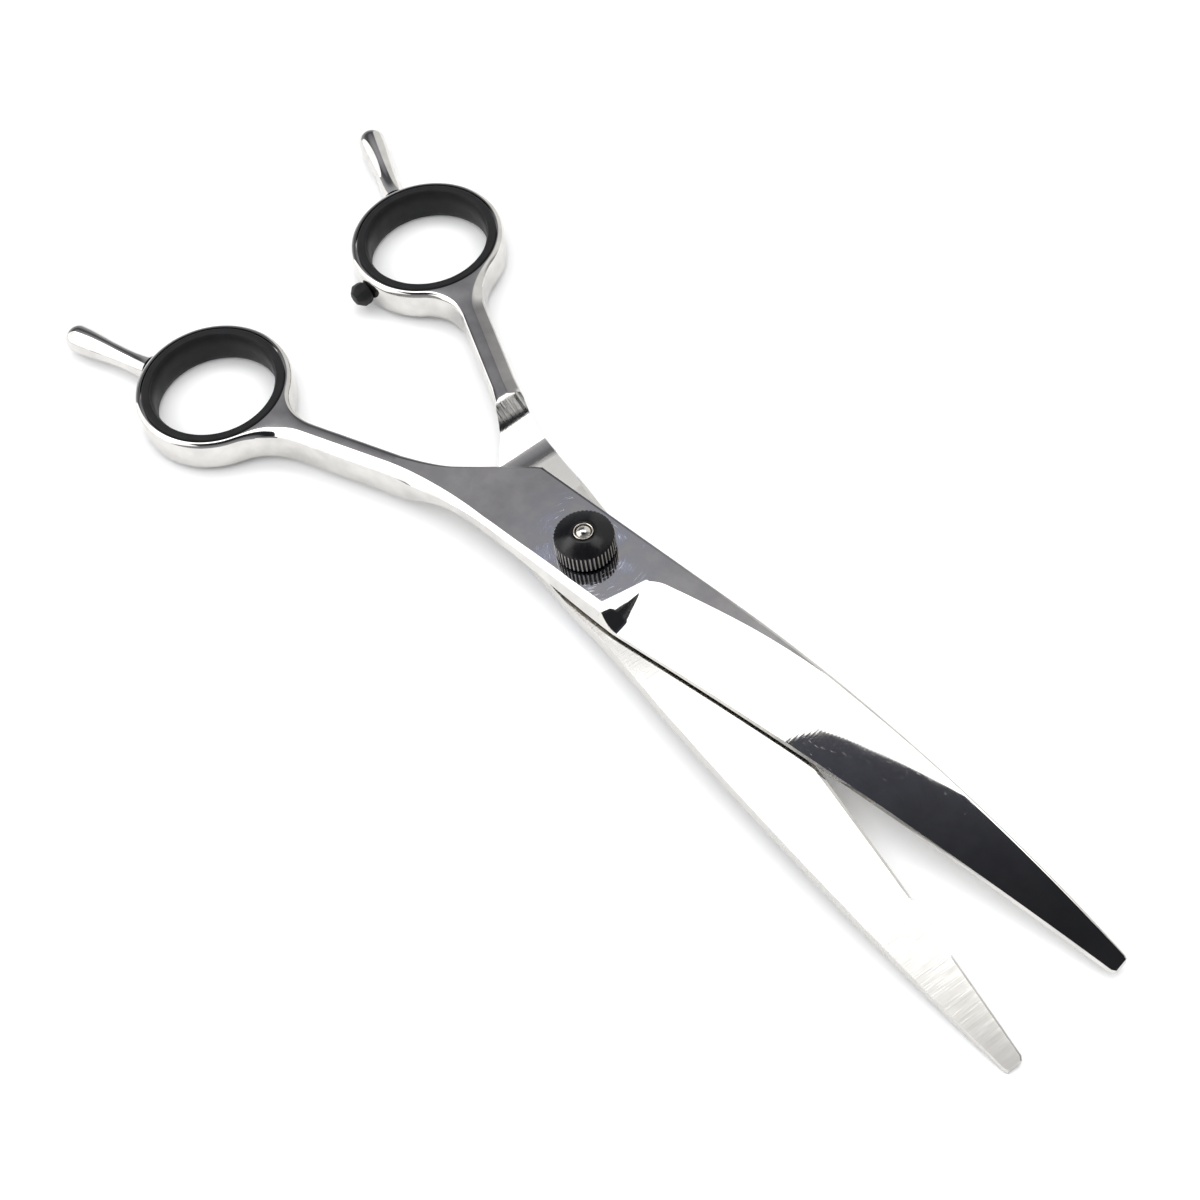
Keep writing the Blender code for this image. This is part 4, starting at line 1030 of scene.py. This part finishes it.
# The bumper
# A many-sided rubber stop, moulded with a stem and pressed into a hole in the lower half's ring.
BUMPER_SIDES = 8
BUMPER_WIDTH = 2.15
BUMPER_SOFT_EDGE = 0.14
BUMPER_SHARP_ANGLE = 40.0
BUMPER_TURN = math.radians(14.0)
BUMPER_STEM = 0.9
BUMPER_STEM_LENGTH = 1.0
BUMPER_PROFILE = [
    (0.0, 3.0), (1.15, 2.95), (BUMPER_WIDTH, 1.95), (BUMPER_WIDTH, 0.75), (1.9, 0.1),
    (BUMPER_STEM, 0.1), (BUMPER_STEM, -BUMPER_STEM_LENGTH), (0.0, -BUMPER_STEM_LENGTH),
]

bumper = turned("rubber_bumper", BUMPER_PROFILE, vinyl, steps=BUMPER_SIDES)
work = bmesh.new()
work.from_mesh(bumper.data)
bmesh.ops.bevel(work, geom=work.edges[:], offset=BUMPER_SOFT_EDGE * MM, segments=2, profile=0.5,
                affect="EDGES")
work.to_mesh(bumper.data)
work.free()
bumper.data.shade_smooth()
bumper.data.set_sharp_from_angle(angle=math.radians(BUMPER_SHARP_ANGLE))
bumper.matrix_world = on_ring(-1, -BUMPER_ANGLE) @ Matrix.Rotation(BUMPER_TURN, 4, "Z")
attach(bumper, "lower")
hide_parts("bumper")


# The pivot screw
# A turned steel screw: a flat head let into the lower half, a square neck that keeps it from turning, a plain
# journal and a threaded end with a bright dome.
SCREW_RADIUS = 2.0
SCREW_NECK = 4.2
SCREW_NECK_TOP = -0.3
SCREW_HEAD_RADIUS = 4.2
SCREW_HEAD_FACE = -PLATE_TOP + 0.1
SCREW_HEAD_TOP = SCREW_HEAD_FACE + 0.9
SCREW_CHAMFER = 0.225
JOURNAL_TOP = PLATE_TOP + 1.35
JOURNAL_SHOULDER = 0.15
THREAD_RADIUS = 1.32
THREAD_PITCH = 0.5
THREAD_DEPTH = 0.12
SCREW_END = 7.8
DOME_LOW = SCREW_END - 0.95
DOME_STEPS = 16


def screw_profile():
    """Dome, thread, journal, neck and head, as (radius, height)."""
    profile = [(0.0, SCREW_END)]
    for i in range(1, DOME_STEPS + 1):
        turn = math.pi / 2 * i / DOME_STEPS
        profile.append((THREAD_RADIUS * math.sin(turn), mix(DOME_LOW, SCREW_END, math.cos(turn))))
    crests = int((DOME_LOW - JOURNAL_TOP) / THREAD_PITCH)
    for i in range(crests):
        height = DOME_LOW - THREAD_PITCH * (i + 0.5)
        profile += [(THREAD_RADIUS - THREAD_DEPTH, height), (THREAD_RADIUS, height - THREAD_PITCH / 2)]
    return profile + [
        (SCREW_RADIUS, JOURNAL_TOP - JOURNAL_SHOULDER), (SCREW_RADIUS, SCREW_NECK_TOP),
        (SCREW_NECK / 2, SCREW_NECK_TOP), (SCREW_NECK / 2, SCREW_HEAD_TOP),
        (SCREW_HEAD_RADIUS, SCREW_HEAD_TOP), (SCREW_HEAD_RADIUS, SCREW_HEAD_FACE + SCREW_CHAMFER),
        (SCREW_HEAD_RADIUS - SCREW_CHAMFER, SCREW_HEAD_FACE), (0.0, SCREW_HEAD_FACE),
    ]


def square_neck(radius, height, turn):
    """The neck's points go out to a square."""
    if radius != SCREW_NECK / 2:
        return radius
    return radius / max(abs(math.cos(turn)), abs(math.sin(turn)))


# Turned stainless steel: bright, with rings left by the lathe tool, about 0.1 mm apart, that catch the light
# in arcs, and faint stains about 1 mm across.
turned_steel, tree, shader, millimetres = new_finish("turned_stainless_steel")
axes, reach = from_axis(tree, millimetres)
lathe = add(tree, "CombineXYZ", {"X": reach, "Z": axes[2]})
rings = add(tree, "TexNoise", {"Vector": lathe, "Scale": 9.0, "Detail": 2.0})
stain = add(tree, "TexNoise", {"Vector": millimetres, "Scale": 0.8, "Detail": 3.0})
tint = add(tree, "Mix", {0: stain, 6: linear("d2cfc9"), 7: linear("c5c3c0")}, 2, data_type="RGBA")
gloss = add(tree, "MapRange", {0: rings, 1: 0.3, 2: 0.7, 3: 0.08, 4: 0.2})
ringed = add(tree, "Bump", {"Distance": 0.0015 * MM, "Height": rings})
fill(tree, shader, {"Metallic": 1.0, "Base Color": tint, "Roughness": gloss, "Normal": ringed})

screw = turned("turned_pivot_screw", screw_profile(), turned_steel, steps=96, reach=square_neck)
screw.matrix_world = at_half(-1)
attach(screw, "lower")
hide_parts("pivot_screw")


# The bushing and the washers
# White acetal keeps steel off steel: a bushing round the journal, a thin glide washer between the halves and
# a washer under the spring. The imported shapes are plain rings, as the real ones are, and get only a finish.

# Moulded acetal: milky white, half gloss, with faint flow marks about 2 mm long.
acetal, tree, shader, millimetres = new_finish("moulded_acetal")
flow = add(tree, "TexNoise", {"Vector": millimetres, "Scale": 0.6, "Detail": 3.0})
tint, gloss = vary(tree, flow, ("ece9e0", "dedacf"), (0.32, 0.45))
fill(tree, shader, {"IOR": 1.48, "Base Color": tint, "Roughness": gloss})
for node in ("pivot_bushing", "glide_washer", "knob_washer"):
    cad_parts[node].data.materials.clear()
    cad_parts[node].data.materials.append(acetal)


# The spring washer
# A dished ring of hardened spring steel under the nut. It keeps the halves pressed together.

# Tempered spring steel: dark grey, with straw and blue heat tints in patches of about 2 mm.
spring_steel, tree, shader, millimetres = new_finish("tempered_spring_steel")
heat = add(tree, "TexNoise", {"Vector": millimetres, "Scale": 0.5, "Detail": 4.0})
tint, gloss = vary(tree, heat, ("8d8478", "6d747f"), (0.28, 0.42))
fill(tree, shader, {"Metallic": 1.0, "Base Color": tint, "Roughness": gloss})
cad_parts["spring_washer"].data.materials.clear()
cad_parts["spring_washer"].data.materials.append(spring_steel)


# The thumb nut
# A black nut with a straight-knurled rim and a low conical top, moulded round a threaded bush and turned by
# hand to set the tension. Its underside is hollow for the spring washer.
KNOB_RADIUS = 4.95
KNOB_BASE = PLATE_TOP + 0.3
KNOB_SHOULDER = KNOB_BASE + 3.4
KNOB_TOP = KNOB_SHOULDER + 0.9
KNOB_TOP_RADIUS = 2.1
KNOB_FOOT_INSET = 0.36
KNOB_FOOT_ROUND = 0.2
KNOB_SHOULDER_INSET = 0.3
KNOB_SHOULDER_ROUND = 0.12
KNOB_EDGE_HEIGHT = 0.26
KNOB_EDGE_BREAK = 0.08
KNOB_CROWN = 0.06
KNOB_CONE_STEPS = 10
KNOB_BORE = 1.74
KNOB_MOUTH_WIDTH = 0.06
KNOB_MOUTH_DROP = 0.02
KNOB_MOUTH_DEPTH = 0.12
KNOB_POCKET = 2.75
KNOB_POCKET_TOP = PLATE_TOP + 2.25
KNOB_RECESS = 4.0
KNOB_RECESS_TOP = PLATE_TOP + 1.5
KNURL_COUNT = 44
KNURL_DEPTH = 0.24
KNURL_FADE = 0.25
KNURL_STEPS = 8


def knurl(radius, height, turn):
    """Rounded ridges on the rim, running out at both ends."""
    on_rim = KNOB_BASE + PLANE_SLACK <= height <= KNOB_SHOULDER - PLANE_SLACK
    if radius < KNOB_RADIUS - KNOB_SHOULDER_INSET or not on_rim:
        return radius
    ridge = 0.5 + 0.5 * math.cos(KNURL_COUNT * turn)
    fade = min((height - KNOB_BASE) / KNURL_FADE, (KNOB_SHOULDER - height) / KNURL_FADE, 1.0)
    return radius - KNURL_DEPTH * fade * (1.0 - ridge)


def knob_profile():
    """Rim, cone, bore and the hollows underneath, once round."""
    cone = KNOB_RADIUS - KNOB_SHOULDER_INSET
    profile = [
        (KNOB_RECESS, KNOB_BASE), (KNOB_RADIUS - KNOB_FOOT_INSET, KNOB_BASE),
        (KNOB_RADIUS - KNOB_FOOT_ROUND, KNOB_BASE + KNOB_EDGE_BREAK),
        (KNOB_RADIUS, KNOB_BASE + KNOB_EDGE_HEIGHT), (KNOB_RADIUS, mix(KNOB_BASE, KNOB_SHOULDER, 0.5)),
        (KNOB_RADIUS, KNOB_SHOULDER - KNOB_EDGE_HEIGHT),
        (KNOB_RADIUS - KNOB_SHOULDER_ROUND, KNOB_SHOULDER - KNOB_EDGE_BREAK), (cone, KNOB_SHOULDER),
    ]
    for i in range(1, KNOB_CONE_STEPS + 1):
        share = i / KNOB_CONE_STEPS
        crown = KNOB_CROWN * math.sin(math.pi * share)
        profile.append((mix(cone, KNOB_TOP_RADIUS, share), mix(KNOB_SHOULDER, KNOB_TOP, share) + crown))
    return profile + [
        (KNOB_BORE + KNOB_MOUTH_WIDTH, KNOB_TOP - KNOB_MOUTH_DROP), (KNOB_BORE, KNOB_TOP - KNOB_MOUTH_DEPTH),
        (KNOB_BORE, KNOB_POCKET_TOP), (KNOB_POCKET, KNOB_POCKET_TOP), (KNOB_POCKET, KNOB_RECESS_TOP),
        (KNOB_RECESS, KNOB_RECESS_TOP),
    ]


# Moulded gloss plastic: deep black, with soft clear highlights, faint wear in spots of about 1 mm, and the
# ridge crests a lighter grey.
gloss_black, tree, shader, millimetres = new_finish("moulded_gloss_plastic")
wear = add(tree, "TexNoise", {"Vector": millimetres, "Scale": 0.9, "Detail": 5.0})
tint, gloss = vary(tree, wear, ("0b0b0c", "161618"), (0.14, 0.24), 0.35)
axes, reach = from_axis(tree, millimetres)
# The outermost tenth of a millimetre of the rim, the knurl's crests, is coloured a lighter grey.
crest = add(tree, "MapRange", {0: reach, 1: KNOB_RADIUS - 0.1, 2: KNOB_RADIUS - 0.03})
tint = add(tree, "Mix", {0: crest, 6: tint, 7: linear("8d8984")}, 2, data_type="RGBA")
worn = add(tree, "Bump", {"Distance": 0.01 * MM, "Height": wear})
fill(tree, shader, {"IOR": 1.53, "Specular IOR Level": 0.22, "Base Color": tint, "Roughness": gloss,
                    "Normal": worn})

knob = turned("knurled_thumb_nut", knob_profile(), gloss_black, steps=KNURL_COUNT * KNURL_STEPS, closed=True,
              reach=knurl)
knob.matrix_world = at_half(-1)
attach(knob, "knob")
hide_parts("tension_knob")


# The nut's bush
# A plated brass bush with a flange, moulded into the nut. Its collar shows as a bright ring round the screw.
BUSH_BORE = 1.4
BUSH_RADIUS = 1.62
BUSH_TOP = KNOB_TOP + 0.08
BUSH_BOTTOM = KNOB_RECESS_TOP
BUSH_FLANGE = 2.6
BUSH_FLANGE_TOP = BUSH_BOTTOM + 0.6
BUSH_ROUND = (BUSH_RADIUS - BUSH_BORE) / 2
BUSH_ROUND_STEPS = 12

collar = []
for i in range(BUSH_ROUND_STEPS + 1):
    turn = math.pi * i / BUSH_ROUND_STEPS
    radius = BUSH_BORE + BUSH_ROUND * (1.0 - math.cos(turn))
    collar.append((radius, BUSH_TOP - BUSH_ROUND * (1.0 - math.sin(turn))))
collar += [
    (BUSH_RADIUS, BUSH_FLANGE_TOP), (BUSH_FLANGE, BUSH_FLANGE_TOP), (BUSH_FLANGE, BUSH_BOTTOM),
    (BUSH_BORE, BUSH_BOTTOM),
]

# Bright nickel plate: mirror smooth and slightly warm, with faint polishing clouds under 1 mm across.
nickel, tree, shader, millimetres = new_finish("bright_nickel_plate")
polish = add(tree, "TexNoise", {"Vector": millimetres, "Scale": 1.5, "Detail": 3.0})
tint, gloss = vary(tree, polish, ("ded9cf", "d3cec4"), (0.05, 0.12))
fill(tree, shader, {"Metallic": 1.0, "Base Color": tint, "Roughness": gloss})

bush = turned("nut_bush", collar, nickel, steps=96, closed=True)
bush.matrix_world = at_half(-1)
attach(bush, "knob")
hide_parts("knob_bush")
